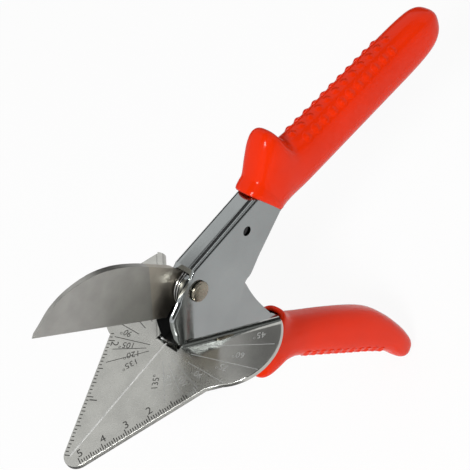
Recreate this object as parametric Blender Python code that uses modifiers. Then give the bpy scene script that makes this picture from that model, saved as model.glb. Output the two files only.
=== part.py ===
"""Mitre shears: a flat mitre plate under a folded lever, and a curved blade on a second lever.

X runs to the ends of the handles, Y away from the near side and Z up from the mitre plate.
The origin is on the flat underside of the mitre plate. Lengths are in metres.
"""
import math

import bmesh
import bpy
from mathutils import Matrix, Vector

OBJECT_NAME = "mitre_shears"

# General clearances and fineness
CLEARANCE = 0.0003
OVERRUN = 0.004
WELD_DISTANCE = 0.000001
ROUND_STEPS = 32
ARC_STEPS = 10
FOLD_SEGMENTS = 4
ROUND_PROFILE_SHARE = 0.5
SMOOTH_ANGLE = math.radians(35.0)

# Pivot, measured from the point where the angle lines of the plate meet
FAN_X = 0.0220
PIVOT_BEHIND_FAN = 0.0224
PIVOT_ABOVE_PLATE = 0.0130
OPEN_ANGLE = math.radians(47.0)

# Mitre plate
PLATE_THICKNESS = 0.0022
CUT_LINE_Y = 0.0008
NOSE_CENTRE_Y = -0.0010
NOSE_REACH = 0.0573
NOSE_APEX_REACH = 0.0657
NOSE_HALF_ANGLE = math.radians(23.6)
NOSE_END_RADIUS = 0.0056
EAR_START_AHEAD = 0.0056
FAR_EAR_RADIUS = 0.0230
FAR_EAR_BACK = 0.0155
FAR_EAR_OUT = 0.0177
FAR_EAR_START_ANGLE = math.radians(155.0)
FAR_EAR_END_ANGLE = math.radians(66.0)
FAR_EAR_CORNER_REACH = 0.0325
NEAR_EAR_RADIUS = 0.0210
NEAR_EAR_BACK = 0.0165
NEAR_EAR_OUT = 0.0194
NEAR_EAR_START_ANGLE = math.radians(-147.0)
NEAR_EAR_END_ANGLE = math.radians(-40.0)
NEAR_EAR_CORNER_REACH = 0.0304
FAR_RIM_OUTSIDE_FAN = 0.0018
NEAR_RIM_OUTSIDE_FAN = 0.0028
RIM_DEPTH = 0.0044
RIM_RUN_IN = 0.0040
RIM_RADIUS = 0.0030
TAB_BEHIND_FAN = 0.0035
TAB_DEPTH = 0.0150
TAB_RADIUS = 0.0024
GROOVE_WIDTH = 0.0008
GROOVE_DEPTH = 0.0006
GROOVE_END_MARGIN = 0.0030

# Upper lever, a folded channel
UPPER_SHEET = 0.0015
UPPER_WIDTH = 0.0108
UPPER_FOLD_RADIUS = 0.0028
UPPER_INSIDE_FOLD_RADIUS = 0.0009
WEB_ABOVE_PIVOT = 0.0100
WEB_START_BEHIND_PIVOT = 0.0026
CHEEK_HOLE_RADIUS = 0.0020
CHEEK_HOLE_BEHIND_PIVOT = 0.0301
CHEEK_HOLE_ABOVE_PIVOT = 0.0012
CHEEK_BELOW_PLATE = 0.0200
UPPER_TAIL_IN_GRIP = 0.0760
UPPER_TAIL_HEIGHT = 0.0110
WEB_END_SHARE = 0.78
UPPER_TAIL_START_SHARE = 1.3
UPPER_POCKET_MOUTH_SHARE = 0.5

# Lower lever, a folded channel that swings inside the upper one
LOWER_SHEET = 0.0012
HEAD_RADIUS = 0.0078
LOWER_NECK_REACH = 0.0220
LOWER_NECK_DROP = 0.0135
LOWER_KNEE_SHARE = 0.7603
LOWER_TAIL_IN_GRIP = 0.0640
LOWER_TAIL_HEIGHT = 0.0110
LOWER_INNER_TAIL_START_SHARE = 1.6
LOWER_POCKET_MOUTH_SHARE = 0.8
NECK_START_SHARE = 0.25
HEAD_START_ANGLE = math.radians(78.0)
HEAD_END_ANGLE = math.radians(262.0)
FAR_CHEEK_START = 0.0360

# Blade
BLADE_THICKNESS = 0.0028
BLADE_REACH = 0.0744
BLADE_HEIGHT = 0.0232
BLADE_TILT = math.radians(0.8)
BLADE_TAPER_START = 0.0400
BLADE_POINT_THICKNESS = 0.0008
BLADE_HEEL_REACH = 0.0073
BLADE_HEEL_INNER_SHARE = 0.75
BLADE_HEEL_DROP_SHARE = 1.05
BLADE_BELLY_SHARE = 0.3
BLADE_NECK_START_ANGLE = math.radians(132.0)
BLADE_NECK_END_ANGLE = math.radians(62.0)
BLADE_BEVEL_HEIGHT = 0.0055
BLADE_LAND = 0.0002
TANG_REACH = 0.0315
TANG_END_RADIUS = 0.0042
TANG_END_DROP = 0.0070
TANG_END_START_ANGLE = math.radians(75.0)
TANG_END_STOP_ANGLE = math.radians(-105.0)

# Pivot rivet and its bush
PIVOT_SHAFT_RADIUS = 0.0030
PIVOT_HEAD_RADIUS = 0.0042
PIVOT_HEAD_THICKNESS = 0.0014
PIVOT_HEAD_EDGE = 0.0004
BUSH_WALL = 0.0010

# Rivets that hold the blade's tang, the plate and its carrier
TANG_RIVET_RADIUS = 0.0016
TANG_SPACER_WALL = 0.0012
TANG_RIVET_PLACES = ((0.0132, 0.0006), (0.0200, 0.0036), (0.0270, 0.0066))
CARRIER_RIVET_RADIUS = 0.0015
CARRIER_HEAD_RADIUS = 0.0027
CARRIER_HEAD_THICKNESS = 0.0009
CARRIER_RIVET_BEHIND_TAB = 0.0055
CARRIER_RIVET_DROPS = (0.0104, 0.0164)
PLATE_RIVET_RADIUS = 0.0012
PLATE_HEAD_RADIUS = 0.0021
PLATE_HEAD_THICKNESS = 0.0008
PLATE_RIVET_LENGTH = 0.0050
PLATE_RIVET_DROPS = (0.0068, 0.0118)
CARRIER_TOP_DROP = 0.0006
CARRIER_BOTTOM_DROP = 0.0185
CARRIER_STOP_START = 0.0050
CARRIER_STOP_END = 0.0190
RIVET_TOP_SHARE = 0.6

# Opening spring, one length of round wire
WIRE_RADIUS = 0.0004
COIL_RADIUS = 0.0075
COIL_PITCH = 0.00125
COIL_POINTS_A_TURN = 10
COIL_EXTRA_TURNS = 1
SAMPLES_A_SPAN = 8
LEG_SHARES = (0.5, 1.0)
UPPER_LEG_LENGTH = 0.0240
LOWER_LEG_LENGTH = 0.0230
LOWER_LEG_SPREAD = 0.0042

# Grips, with both axes sloping the same way when the shears are closed
GRIP_SLOPE = math.radians(5.0)
GRIP_HEIGHT = 0.0220
GRIP_WIDTH = 0.0150
GRIP_LENGTH = 0.1030
GRIP_SECTION_POWER = 2.7
GRIP_RING_POINTS = 28
UPPER_GRIP_GUARD_REACH = 0.0520
UPPER_GRIP_AXIS_RISE = 0.0073
LOWER_GRIP_GUARD_REACH = 0.0605
LOWER_GRIP_AXIS_DROP = 0.0207

# Sizes that follow from the ones above
PIVOT_X = FAN_X + PIVOT_BEHIND_FAN
PIVOT_Z = PLATE_THICKNESS + PIVOT_ABOVE_PLATE
UPPER_HALF = UPPER_WIDTH / 2
UPPER_INNER_HALF = UPPER_HALF - UPPER_SHEET
LOWER_HALF = UPPER_INNER_HALF - CLEARANCE
LOWER_INNER_HALF = LOWER_HALF - LOWER_SHEET
EDGE_DROP = PIVOT_ABOVE_PLATE - CLEARANCE
TAB_X = FAN_X + TAB_BEHIND_FAN
CHEEK_FRONT = PIVOT_X - TAB_X - CLEARANCE
BUSH_RADIUS = PIVOT_SHAFT_RADIUS + CLEARANCE + BUSH_WALL
NOTCH_HALF = UPPER_HALF + CLEARANCE
LOWER_AXIS = -LOWER_GRIP_AXIS_DROP
LOWER_KNEE_REACH = LOWER_GRIP_GUARD_REACH * LOWER_KNEE_SHARE
UPPER_TAIL_REACH = UPPER_GRIP_GUARD_REACH + UPPER_TAIL_IN_GRIP
LOWER_TAIL_REACH = LOWER_GRIP_GUARD_REACH + LOWER_TAIL_IN_GRIP

# Blade spine from the point back to the neck: shares of the reach, and of the height above the edge
SPINE_SHARES = (
    (1.000, 0.000), (0.965, 0.185), (0.924, 0.421), (0.878, 0.582), (0.827, 0.709), (0.774, 0.802),
    (0.720, 0.881), (0.661, 0.939), (0.601, 0.975), (0.540, 0.994), (0.479, 1.000), (0.416, 0.993),
    (0.351, 0.977), (0.286, 0.948), (0.207, 0.914), (0.116, 0.871),
)

# Front edge of the upper cheeks: shares of the reach to the tab, and of the pivot's height over the plate
CHEEK_FRONT_SHARES = (
    (0.000, 0.560), (0.220, 0.480), (0.440, 0.350), (0.620, 0.215), (0.760, 0.120), (0.850, 0.010),
    (0.905, -0.180), (0.950, -0.400), (0.980, -0.650), (1.000, -0.960),
)

# Bottom edge of the upper cheeks: shares of the lower reach, and of the depth of the cheeks under the pivot
CHEEK_BOTTOM_REACH = 0.0469
CHEEK_BOTTOM_SHARES = (
    (-0.396, -0.820), (-0.340, -0.930), (-0.240, -0.990), (-0.080, -1.000), (0.040, -0.960),
    (0.179, -0.866), (0.252, -0.748), (0.390, -0.560), (0.482, -0.530), (0.563, -0.472),
    (0.620, -0.427), (1.000, -0.190),
)

# Inner edge of the lower lever: shares of the reach to the knee, and of the drop to the grip's axis
LOWER_INNER_SHARES = (
    (1.100, -0.520), (1.000, -0.415), (0.840, -0.230), (0.707, -0.040), (0.607, 0.125), (0.480, 0.260),
    (0.330, 0.350),
)

# Grip stations: place on the inner and outer side as shares of the length, then the inner and
# outer side as shares of half the height, and the width as a share of the grip's width
UPPER_GRIP_STATION_SHARES = (
    (-0.030, -0.136, -1.00, 0.78, 0.96),
    (-0.022, -0.116, -1.00, 0.82, 0.99),
    (-0.012, -0.082, -1.00, 1.16, 1.01),
    (0.000, -0.046, -1.00, 1.72, 1.04),
    (0.014, -0.010, -1.00, 2.14, 1.06),
    (0.030, 0.020, -1.00, 2.27, 1.06),
    (0.052, 0.048, -1.00, 2.10, 1.05),
    (0.076, 0.076, -1.00, 1.60, 1.03),
    (0.105, 0.105, -1.00, 1.20, 1.01),
    (0.150, 0.150, -1.00, 1.03, 1.00),
    (0.300, 0.300, -1.00, 0.98, 1.00),
    (0.640, 0.640, -1.00, 0.97, 1.00),
    (0.780, 0.780, -0.99, 0.96, 1.00),
    (0.860, 0.860, -0.95, 0.93, 0.98),
    (0.920, 0.920, -0.84, 0.86, 0.93),
    (0.960, 0.960, -0.65, 0.72, 0.79),
    (0.985, 0.985, -0.40, 0.50, 0.56),
    (1.000, 1.000, -0.12, 0.22, 0.26),
)
LOWER_GRIP_STATION_SHARES = (
    (-0.030, -0.136, -0.93, 0.66, 0.96),
    (-0.022, -0.116, -1.00, 0.72, 1.00),
    (-0.010, -0.086, -0.98, 1.00, 1.02),
    (0.004, -0.062, -0.90, 1.42, 1.04),
    (0.020, -0.040, -0.84, 1.70, 1.05),
    (0.036, -0.014, -0.80, 1.72, 1.05),
    (0.056, 0.018, -0.78, 1.50, 1.04),
    (0.080, 0.058, -0.78, 1.16, 1.02),
    (0.110, 0.100, -0.79, 0.97, 1.01),
    (0.160, 0.155, -0.82, 0.88, 1.00),
    (0.300, 0.300, -0.92, 0.86, 1.00),
    (0.480, 0.480, -0.99, 0.85, 1.00),
    (0.600, 0.600, -0.93, 0.83, 1.00),
    (0.700, 0.700, -0.70, 0.84, 1.00),
    (0.780, 0.780, -0.42, 0.90, 0.99),
    (0.845, 0.845, -0.16, 1.07, 0.96),
    (0.900, 0.900, 0.12, 1.18, 0.87),
    (0.935, 0.935, 0.34, 1.15, 0.70),
    (0.955, 0.955, 0.56, 1.04, 0.46),
)

parts = None
cutters = None


def clear_scene():
    for item in list(bpy.data.objects):
        bpy.data.objects.remove(item, do_unlink=True)


def make_collection(name):
    collection = bpy.data.collections.new(name)
    bpy.context.scene.collection.children.link(collection)
    return collection


def make_material(name, colour, roughness, metallic):
    material = bpy.data.materials.new(name)
    material.use_nodes = True
    shader = material.node_tree.nodes["Principled BSDF"]
    shader.inputs["Base Color"].default_value = (*colour, 1.0)
    shader.inputs["Roughness"].default_value = roughness
    shader.inputs["Metallic"].default_value = metallic
    return material


def place(item, parent):
    """Move an object into the parts collection and under its empty."""
    for collection in list(item.users_collection):
        collection.objects.unlink(item)
    parts.objects.link(item)
    item.parent = parent


def finish(item, material, parent):
    place(item, parent)
    item.data.materials.clear()
    item.data.materials.append(material)
    item.data.shade_smooth()
    item.data.set_sharp_from_angle(angle=SMOOTH_ANGLE)


def make_tool(item, parent):
    """Turn an object into a hidden cutter that moves with the piece it shapes."""
    for collection in list(item.users_collection):
        collection.objects.unlink(item)
    cutters.objects.link(item)
    item.parent = parent
    item.hide_render = True
    item.display_type = "WIRE"


def combine(item, tool, operation):
    make_tool(tool, item.parent)
    modifier = item.modifiers.new(tool.name, "BOOLEAN")
    modifier.operation = operation
    modifier.solver = "EXACT"
    modifier.object = tool


def curve_to_mesh(curve_object, name):
    """Make a closed mesh of a curve object and remove the curve."""
    bpy.context.view_layer.update()
    depsgraph = bpy.context.evaluated_depsgraph_get()
    mesh = bpy.data.meshes.new_from_object(curve_object.evaluated_get(depsgraph))
    mesh.name = name
    shape = bmesh.new()
    shape.from_mesh(mesh)
    bmesh.ops.remove_doubles(shape, verts=shape.verts, dist=WELD_DISTANCE)
    bmesh.ops.recalc_face_normals(shape, faces=shape.faces)
    shape.to_mesh(mesh)
    shape.free()
    matrix = curve_object.matrix_world.copy()
    bpy.data.objects.remove(curve_object, do_unlink=True)
    item = bpy.data.objects.new(name, mesh)
    item.matrix_world = matrix
    bpy.context.scene.collection.objects.link(item)
    return item


def flat_outline(name, points, thickness):
    """A plate with the given outline in its own X and Y, centred on its own Z."""
    data = bpy.data.curves.new(name, "CURVE")
    data.dimensions = "2D"
    data.fill_mode = "BOTH"
    data.extrude = thickness / 2
    spline = data.splines.new("POLY")
    spline.points.add(len(points) - 1)
    for spline_point, (across, up) in zip(spline.points, points):
        spline_point.co = (across, up, 0.0, 1.0)
    spline.use_cyclic_u = True
    curve_object = bpy.data.objects.new(name, data)
    bpy.context.scene.collection.objects.link(curve_object)
    return curve_to_mesh(curve_object, name)


def side_plate(name, points, low_y, high_y):
    """A plate whose outline is given in X and Z, standing between two values of Y."""
    item = flat_outline(name, points, high_y - low_y)
    turn = Matrix.Rotation(math.radians(90.0), 4, "X")
    item.data.transform(turn)
    item.data.transform(Matrix.Translation((0.0, (low_y + high_y) / 2, 0.0)))
    return item


def turned(name, profile, along):
    """A turned solid: radius and height pairs, top to bottom on the outside, about the given axis."""
    mesh = bpy.data.meshes.new(name)
    points = [(radius, 0.0, height) for radius, height in profile]
    edges = [(index, index + 1) for index in range(len(points) - 1)]
    if profile[0][0] > 0.0:
        edges.append((len(points) - 1, 0))
    mesh.from_pydata(points, edges, [])
    item = bpy.data.objects.new(name, mesh)
    bpy.context.scene.collection.objects.link(item)
    screw = item.modifiers.new("turn", "SCREW")
    screw.steps = ROUND_STEPS
    screw.render_steps = ROUND_STEPS
    screw.use_merge_vertices = True
    screw.merge_threshold = WELD_DISTANCE
    item.rotation_euler = Vector((0.0, 0.0, 1.0)).rotation_difference(Vector(along)).to_euler()
    return item


def rod(name, radius, length, centre, along):
    bpy.ops.mesh.primitive_cylinder_add(vertices=ROUND_STEPS, radius=radius, depth=length)
    item = bpy.context.object
    item.name = name
    item.location = centre
    item.rotation_euler = Vector((0.0, 0.0, 1.0)).rotation_difference(Vector(along)).to_euler()
    return item


def cross_hole(item, name, radius, spot):
    """A clearance hole along Y through a piece, at a place given in X and Z."""
    tool = rod(name, radius + CLEARANCE, UPPER_WIDTH + OVERRUN, (spot[0], 0.0, spot[1]), (0, 1, 0))
    combine(item, tool, "DIFFERENCE")


def block(name, low, high):
    bpy.ops.mesh.primitive_cube_add(size=1.0)
    item = bpy.context.object
    item.name = name
    middle = [(a + b) / 2 for a, b in zip(low, high)]
    spans = [b - a for a, b in zip(low, high)]
    item.data.transform(Matrix.Diagonal((*spans, 1.0)))
    item.data.transform(Matrix.Translation(middle))
    return item


def arc(centre, radius, start, end, steps):
    """Points on an arc from one angle to another, both ends included."""
    points = []
    for index in range(steps + 1):
        angle = start + (end - start) * index / steps
        points.append((centre[0] + radius * math.cos(angle), centre[1] + radius * math.sin(angle)))
    return points


def along_grip(reach, rise):
    """A place in X and Z from the pivot: so far along a grip's axis direction and so far above it."""
    x = reach * math.cos(GRIP_SLOPE) + rise * math.sin(GRIP_SLOPE)
    z = rise * math.cos(GRIP_SLOPE) - reach * math.sin(GRIP_SLOPE)
    return x, z


def opened(point):
    """Where a place on the closed lower member lies when the shears are open."""
    x, z = point
    cosine = math.cos(OPEN_ANGLE)
    sine = math.sin(OPEN_ANGLE)
    return x * cosine + z * sine, z * cosine - x * sine


def round_fold(item, outline, top_count, half_width, radius):
    """Round the two long edges over the first points of a channel blank's outline."""
    shape = bmesh.new()
    shape.from_mesh(item.data)
    ends = [Vector((x, 0.0, z)) for x, z in outline[:top_count]]
    chosen = []
    for edge in shape.edges:
        first, second = edge.verts[0].co, edge.verts[1].co
        off_side = abs(abs(first.y) - half_width)
        if max(off_side, abs(first.y - second.y)) > WELD_DISTANCE:
            continue
        for start, stop in zip(ends, ends[1:]):
            hits = [
                min((Vector((vert.co.x, 0.0, vert.co.z)) - end).length for vert in edge.verts)
                for end in (start, stop)
            ]
            if max(hits) < WELD_DISTANCE:
                chosen.append(edge)
    bmesh.ops.bevel(
        shape,
        geom=chosen,
        offset=radius,
        segments=FOLD_SEGMENTS,
        profile=ROUND_PROFILE_SHARE,
        affect="EDGES",
    )
    shape.to_mesh(item.data)
    shape.free()


def upper_outline(inset):
    """Outline of the upper lever from the side, its first four points along the top of the web."""
    top = WEB_ABOVE_PIVOT - inset
    mouth_x = along_grip(UPPER_GRIP_GUARD_REACH, 0.0)[0]
    tail_top = UPPER_GRIP_AXIS_RISE + UPPER_TAIL_HEIGHT / 2 - inset
    tail_bottom = UPPER_GRIP_AXIS_RISE - UPPER_TAIL_HEIGHT / 2
    overrun = OVERRUN if inset else 0.0
    web_start = -CHEEK_FRONT - overrun if inset else WEB_START_BEHIND_PIVOT
    points = [
        (web_start, top),
        (mouth_x * WEB_END_SHARE, top),
        along_grip(UPPER_GRIP_GUARD_REACH * UPPER_TAIL_START_SHARE, tail_top),
        along_grip(UPPER_TAIL_REACH + overrun, tail_top),
        along_grip(UPPER_TAIL_REACH + overrun, tail_bottom - overrun),
        along_grip(UPPER_GRIP_GUARD_REACH * UPPER_TAIL_START_SHARE, tail_bottom - overrun),
    ]
    depth = PIVOT_ABOVE_PLATE + CHEEK_BELOW_PLATE
    for along_share, down_share in reversed(CHEEK_BOTTOM_SHARES):
        points.append((CHEEK_BOTTOM_REACH * along_share, depth * down_share - overrun))
    if inset:
        points.append((web_start, -depth - overrun))
        return points
    for along_share, up_share in reversed(CHEEK_FRONT_SHARES):
        points.append((-CHEEK_FRONT * along_share, PIVOT_ABOVE_PLATE * up_share))
    return points


def make_upper_lever(material, parent):
    outline = upper_outline(0.0)
    item = side_plate("upper_lever", outline, -UPPER_HALF, UPPER_HALF)
    round_fold(item, outline, 4, UPPER_HALF, UPPER_FOLD_RADIUS)
    finish(item, material, parent)
    inside = upper_outline(UPPER_SHEET)
    hollow = side_plate("upper_lever_hollow", inside, -UPPER_INNER_HALF, UPPER_INNER_HALF)
    round_fold(hollow, inside, 4, UPPER_INNER_HALF, UPPER_INSIDE_FOLD_RADIUS)
    combine(item, hollow, "DIFFERENCE")
    across = UPPER_WIDTH + OVERRUN
    hole_place = (CHEEK_HOLE_BEHIND_PIVOT, 0.0, CHEEK_HOLE_ABOVE_PIVOT)
    hole = rod("upper_lever_hole", CHEEK_HOLE_RADIUS, across, hole_place, (0, 1, 0))
    combine(item, hole, "DIFFERENCE")
    cross_hole(item, "upper_lever_bore", PIVOT_SHAFT_RADIUS, (0.0, 0.0))
    for index, spot in enumerate(carrier_rivet_places()):
        cross_hole(item, f"upper_rivet_hole_{index}", CARRIER_RIVET_RADIUS, spot)


def plate_z(drop):
    """Height from the pivot of a place under the top face of the mitre plate."""
    return -PIVOT_ABOVE_PLATE - drop


def carrier_rivet_places():
    x = TAB_X - PIVOT_X + CARRIER_RIVET_BEHIND_TAB
    return [(x, plate_z(drop)) for drop in CARRIER_RIVET_DROPS]


def plate_outline():
    """Outline of the mitre plate in X and Y, with the two ears and the notch for the levers."""
    nose_centre = (FAN_X - NOSE_REACH + NOSE_END_RADIUS, NOSE_CENTRE_Y)
    nose_side = math.pi / 2 + NOSE_HALF_ANGLE
    points = arc(nose_centre, NOSE_END_RADIUS, math.pi * 2 - nose_side, nose_side, ARC_STEPS)
    start_x = FAN_X - EAR_START_AHEAD
    start_out = (NOSE_APEX_REACH - EAR_START_AHEAD) * math.tan(NOSE_HALF_ANGLE)
    far_span = (FAR_EAR_START_ANGLE, FAR_EAR_END_ANGLE)
    near_span = (NEAR_EAR_START_ANGLE, NEAR_EAR_END_ANGLE)
    far_rim_x = FAN_X + FAR_RIM_OUTSIDE_FAN * math.sqrt(2.0)
    near_rim_x = FAN_X + NEAR_RIM_OUTSIDE_FAN * math.sqrt(2.0)
    ears = (
        (1.0, FAR_EAR_BACK, FAR_EAR_OUT, FAR_EAR_RADIUS, far_span, FAR_EAR_CORNER_REACH, far_rim_x),
        (-1.0, NEAR_EAR_BACK, NEAR_EAR_OUT, NEAR_EAR_RADIUS, near_span, NEAR_EAR_CORNER_REACH, near_rim_x),
    )
    for side, back, out, radius, span, reach, rim_x in ears:
        centre = (FAN_X + back, NOSE_CENTRE_Y + side * out)
        corner = (rim_x + reach, CUT_LINE_Y + side * reach)
        ear = [(start_x, NOSE_CENTRE_Y + side * start_out)]
        ear += arc(centre, radius, span[0], span[1], ARC_STEPS * 2) + [corner]
        notch = [
            (rim_x + abs(side * NOTCH_HALF - CUT_LINE_Y), side * NOTCH_HALF),
            (TAB_X, side * NOTCH_HALF),
        ]
        if side > 0.0:
            points += ear + notch
        else:
            points += notch[::-1] + ear[::-1]
    return points


def fold_pieces(name, edge_start, stop, depth, radius, inward, run_in, lead, run_out):
    """A turned-down strip along an edge of the plate, and the cutter that rounds its fold."""
    start = Vector(edge_start) - (Vector(stop) - Vector(edge_start)).normalized() * run_in
    run = Vector(stop) - start
    length = run.length
    heading = math.atan2(run.y, run.x)
    low = (0.0, 0.0, PLATE_THICKNESS - depth)
    strip = block(f"{name}_strip", low, (length, PLATE_THICKNESS, PLATE_THICKNESS))
    outline = [(-OVERRUN, 0.0), (-OVERRUN, OVERRUN), (radius, OVERRUN), (radius, 0.0)]
    outline += arc((radius, -radius), radius, math.pi / 2, math.pi, ARC_STEPS)[1:]
    outline += [(-OVERRUN, -radius)]
    corner = flat_outline(f"{name}_rounding", outline, length + run_out - lead)
    stand = Matrix(((0, 0, 1, 0), (1, 0, 0, 0), (0, 1, 0, 0), (0, 0, 0, 1)))
    corner.data.transform(stand)
    corner.data.transform(Matrix.Translation(((length + run_out + lead) / 2, 0.0, PLATE_THICKNESS)))
    flip = Matrix.Diagonal((1.0, inward, 1.0, 1.0))
    turn = Matrix.Translation((start[0], start[1], 0.0)) @ Matrix.Rotation(heading, 4, "Z") @ flip
    for item in (strip, corner):
        item.data.transform(turn)
        if inward < 0.0:
            item.data.flip_normals()
    return strip, corner


def make_mitre_plate(material):
    outline = plate_outline()
    item = flat_outline("mitre_plate", outline, PLATE_THICKNESS)
    item.data.transform(Matrix.Translation((0.0, 0.0, PLATE_THICKNESS / 2)))
    finish(item, material, None)
    half_ear = ARC_STEPS + 3 + ARC_STEPS * 2
    far_corner, far_inner, far_tab = outline[half_ear], outline[half_ear + 1], outline[half_ear + 2]
    near_tab, near_inner, near_corner = outline[half_ear + 3], outline[half_ear + 4], outline[half_ear + 5]
    rim = (RIM_RUN_IN, CLEARANCE, OVERRUN)
    folds = (
        fold_pieces("far_rim", far_inner, far_corner, RIM_DEPTH, RIM_RADIUS, 1.0, *rim),
        fold_pieces("near_rim", near_inner, near_corner, RIM_DEPTH, RIM_RADIUS, -1.0, *rim),
        fold_pieces("tab", near_tab, far_tab, TAB_DEPTH, TAB_RADIUS, 1.0, 0.0, -CLEARANCE, CLEARANCE),
    )
    for strip, corner in folds:
        combine(item, strip, "UNION")
    for strip, corner in folds:
        combine(item, corner, "DIFFERENCE")
    low = (TAB_X, -NOTCH_HALF, -TAB_DEPTH)
    high = (near_inner[0] + OVERRUN, NOTCH_HALF, PLATE_THICKNESS + OVERRUN)
    combine(item, block("lever_notch", low, high), "DIFFERENCE")
    groove_front = FAN_X - NOSE_REACH + GROOVE_END_MARGIN
    low = (groove_front, CUT_LINE_Y - GROOVE_WIDTH / 2, PLATE_THICKNESS - GROOVE_DEPTH)
    high = (TAB_X + OVERRUN, CUT_LINE_Y + GROOVE_WIDTH / 2, PLATE_THICKNESS + OVERRUN)
    combine(item, block("cut_line_groove", low, high), "DIFFERENCE")
    for index, drop in enumerate(PLATE_RIVET_DROPS):
        centre = (TAB_X, 0.0, PLATE_THICKNESS - drop)
        hole = rod(f"tab_hole_{index}", PLATE_RIVET_RADIUS + CLEARANCE, OVERRUN * 2, centre, (1, 0, 0))
        combine(item, hole, "DIFFERENCE")


def make_plate_carrier(material, parent):
    """The block between the cheeks that carries the plate and stops the lower lever when it opens."""
    front = -CHEEK_FRONT
    stop_top = opened(lower_edge(CARRIER_STOP_START, CLEARANCE))
    stop_bottom = opened(lower_edge(CARRIER_STOP_END, CLEARANCE))
    top = plate_z(CARRIER_TOP_DROP)
    bottom = plate_z(CARRIER_BOTTOM_DROP)
    outline = [
        (front, top),
        (front, bottom),
        (stop_bottom[0], bottom),
        stop_bottom,
        stop_top,
        (stop_top[0], top),
    ]
    item = side_plate("plate_carrier", outline, -LOWER_HALF, LOWER_HALF)
    finish(item, material, parent)
    for index, spot in enumerate(carrier_rivet_places()):
        cross_hole(item, f"carrier_cross_hole_{index}", CARRIER_RIVET_RADIUS, spot)
    hole_radius = PLATE_RIVET_RADIUS + CLEARANCE
    for index, drop in enumerate(PLATE_RIVET_DROPS):
        centre = (front, 0.0, plate_z(drop))
        hole = rod(f"carrier_front_hole_{index}", hole_radius, PLATE_RIVET_LENGTH, centre, (1, 0, 0))
        combine(item, hole, "DIFFERENCE")


def make_carrier_rivets(material, parent):
    for number, (x, z) in enumerate(carrier_rivet_places(), start=1):
        reach = UPPER_HALF + CLEARANCE
        top = reach + CARRIER_HEAD_THICKNESS
        profile = [
            (0.0, top),
            (CARRIER_HEAD_RADIUS * RIVET_TOP_SHARE, top),
            (CARRIER_HEAD_RADIUS, reach),
            (CARRIER_RIVET_RADIUS, reach),
            (CARRIER_RIVET_RADIUS, -reach),
            (CARRIER_HEAD_RADIUS, -reach),
            (CARRIER_HEAD_RADIUS * RIVET_TOP_SHARE, -top),
            (0.0, -top),
        ]
        item = turned(f"carrier_rivet_{number}", profile, (0, 1, 0))
        item.location = (x, 0.0, z)
        finish(item, material, parent)


def make_plate_rivets(material, parent):
    inner = PLATE_THICKNESS + CLEARANCE
    for number, drop in enumerate(PLATE_RIVET_DROPS, start=1):
        profile = [
            (0.0, PLATE_HEAD_THICKNESS),
            (PLATE_HEAD_RADIUS * RIVET_TOP_SHARE, PLATE_HEAD_THICKNESS),
            (PLATE_HEAD_RADIUS, 0.0),
            (PLATE_RIVET_RADIUS, 0.0),
            (PLATE_RIVET_RADIUS, -PLATE_RIVET_LENGTH / 2 - PLATE_THICKNESS + CLEARANCE),
            (0.0, -PLATE_RIVET_LENGTH / 2 - PLATE_THICKNESS + CLEARANCE),
        ]
        item = turned(f"plate_rivet_{number}", profile, (-1, 0, 0))
        item.location = (TAB_X - PIVOT_X - inner, 0.0, plate_z(drop))
        finish(item, material, parent)


def make_pivot_rivet(material, parent):
    reach = UPPER_HALF + CLEARANCE
    top = reach + PIVOT_HEAD_THICKNESS
    flat = PIVOT_HEAD_RADIUS - PIVOT_HEAD_EDGE
    shoulder = top - PIVOT_HEAD_EDGE
    profile = [
        (0.0, top),
        (flat, top),
        (PIVOT_HEAD_RADIUS, shoulder),
        (PIVOT_HEAD_RADIUS, reach),
        (PIVOT_SHAFT_RADIUS, reach),
        (PIVOT_SHAFT_RADIUS, -reach),
        (PIVOT_HEAD_RADIUS, -reach),
        (PIVOT_HEAD_RADIUS, -shoulder),
        (flat, -top),
        (0.0, -top),
    ]
    item = turned("pivot_rivet", profile, (0, 1, 0))
    finish(item, material, parent)


def ring(name, inner, outer, low_y, high_y, centre, material, parent):
    middle = (low_y + high_y) / 2
    half = (high_y - low_y) / 2
    profile = [(inner, half), (outer, half), (outer, -half), (inner, -half)]
    item = turned(name, profile, (0, 1, 0))
    item.location = (centre[0], middle, centre[1])
    finish(item, material, parent)


def lower_edge(reach, clear):
    """A place on the outer edge of the lower lever's neck, moved out by the given clearance."""
    start = Vector(along_grip(HEAD_RADIUS * NECK_START_SHARE, -HEAD_RADIUS))
    stop = Vector(along_grip(LOWER_NECK_REACH, -LOWER_NECK_DROP))
    direction = (stop - start).normalized()
    outward = Vector((direction.y, -direction.x))
    if outward.y > 0.0:
        outward = -outward
    spot = start + direction * reach + outward * clear
    return spot.x, spot.y


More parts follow.
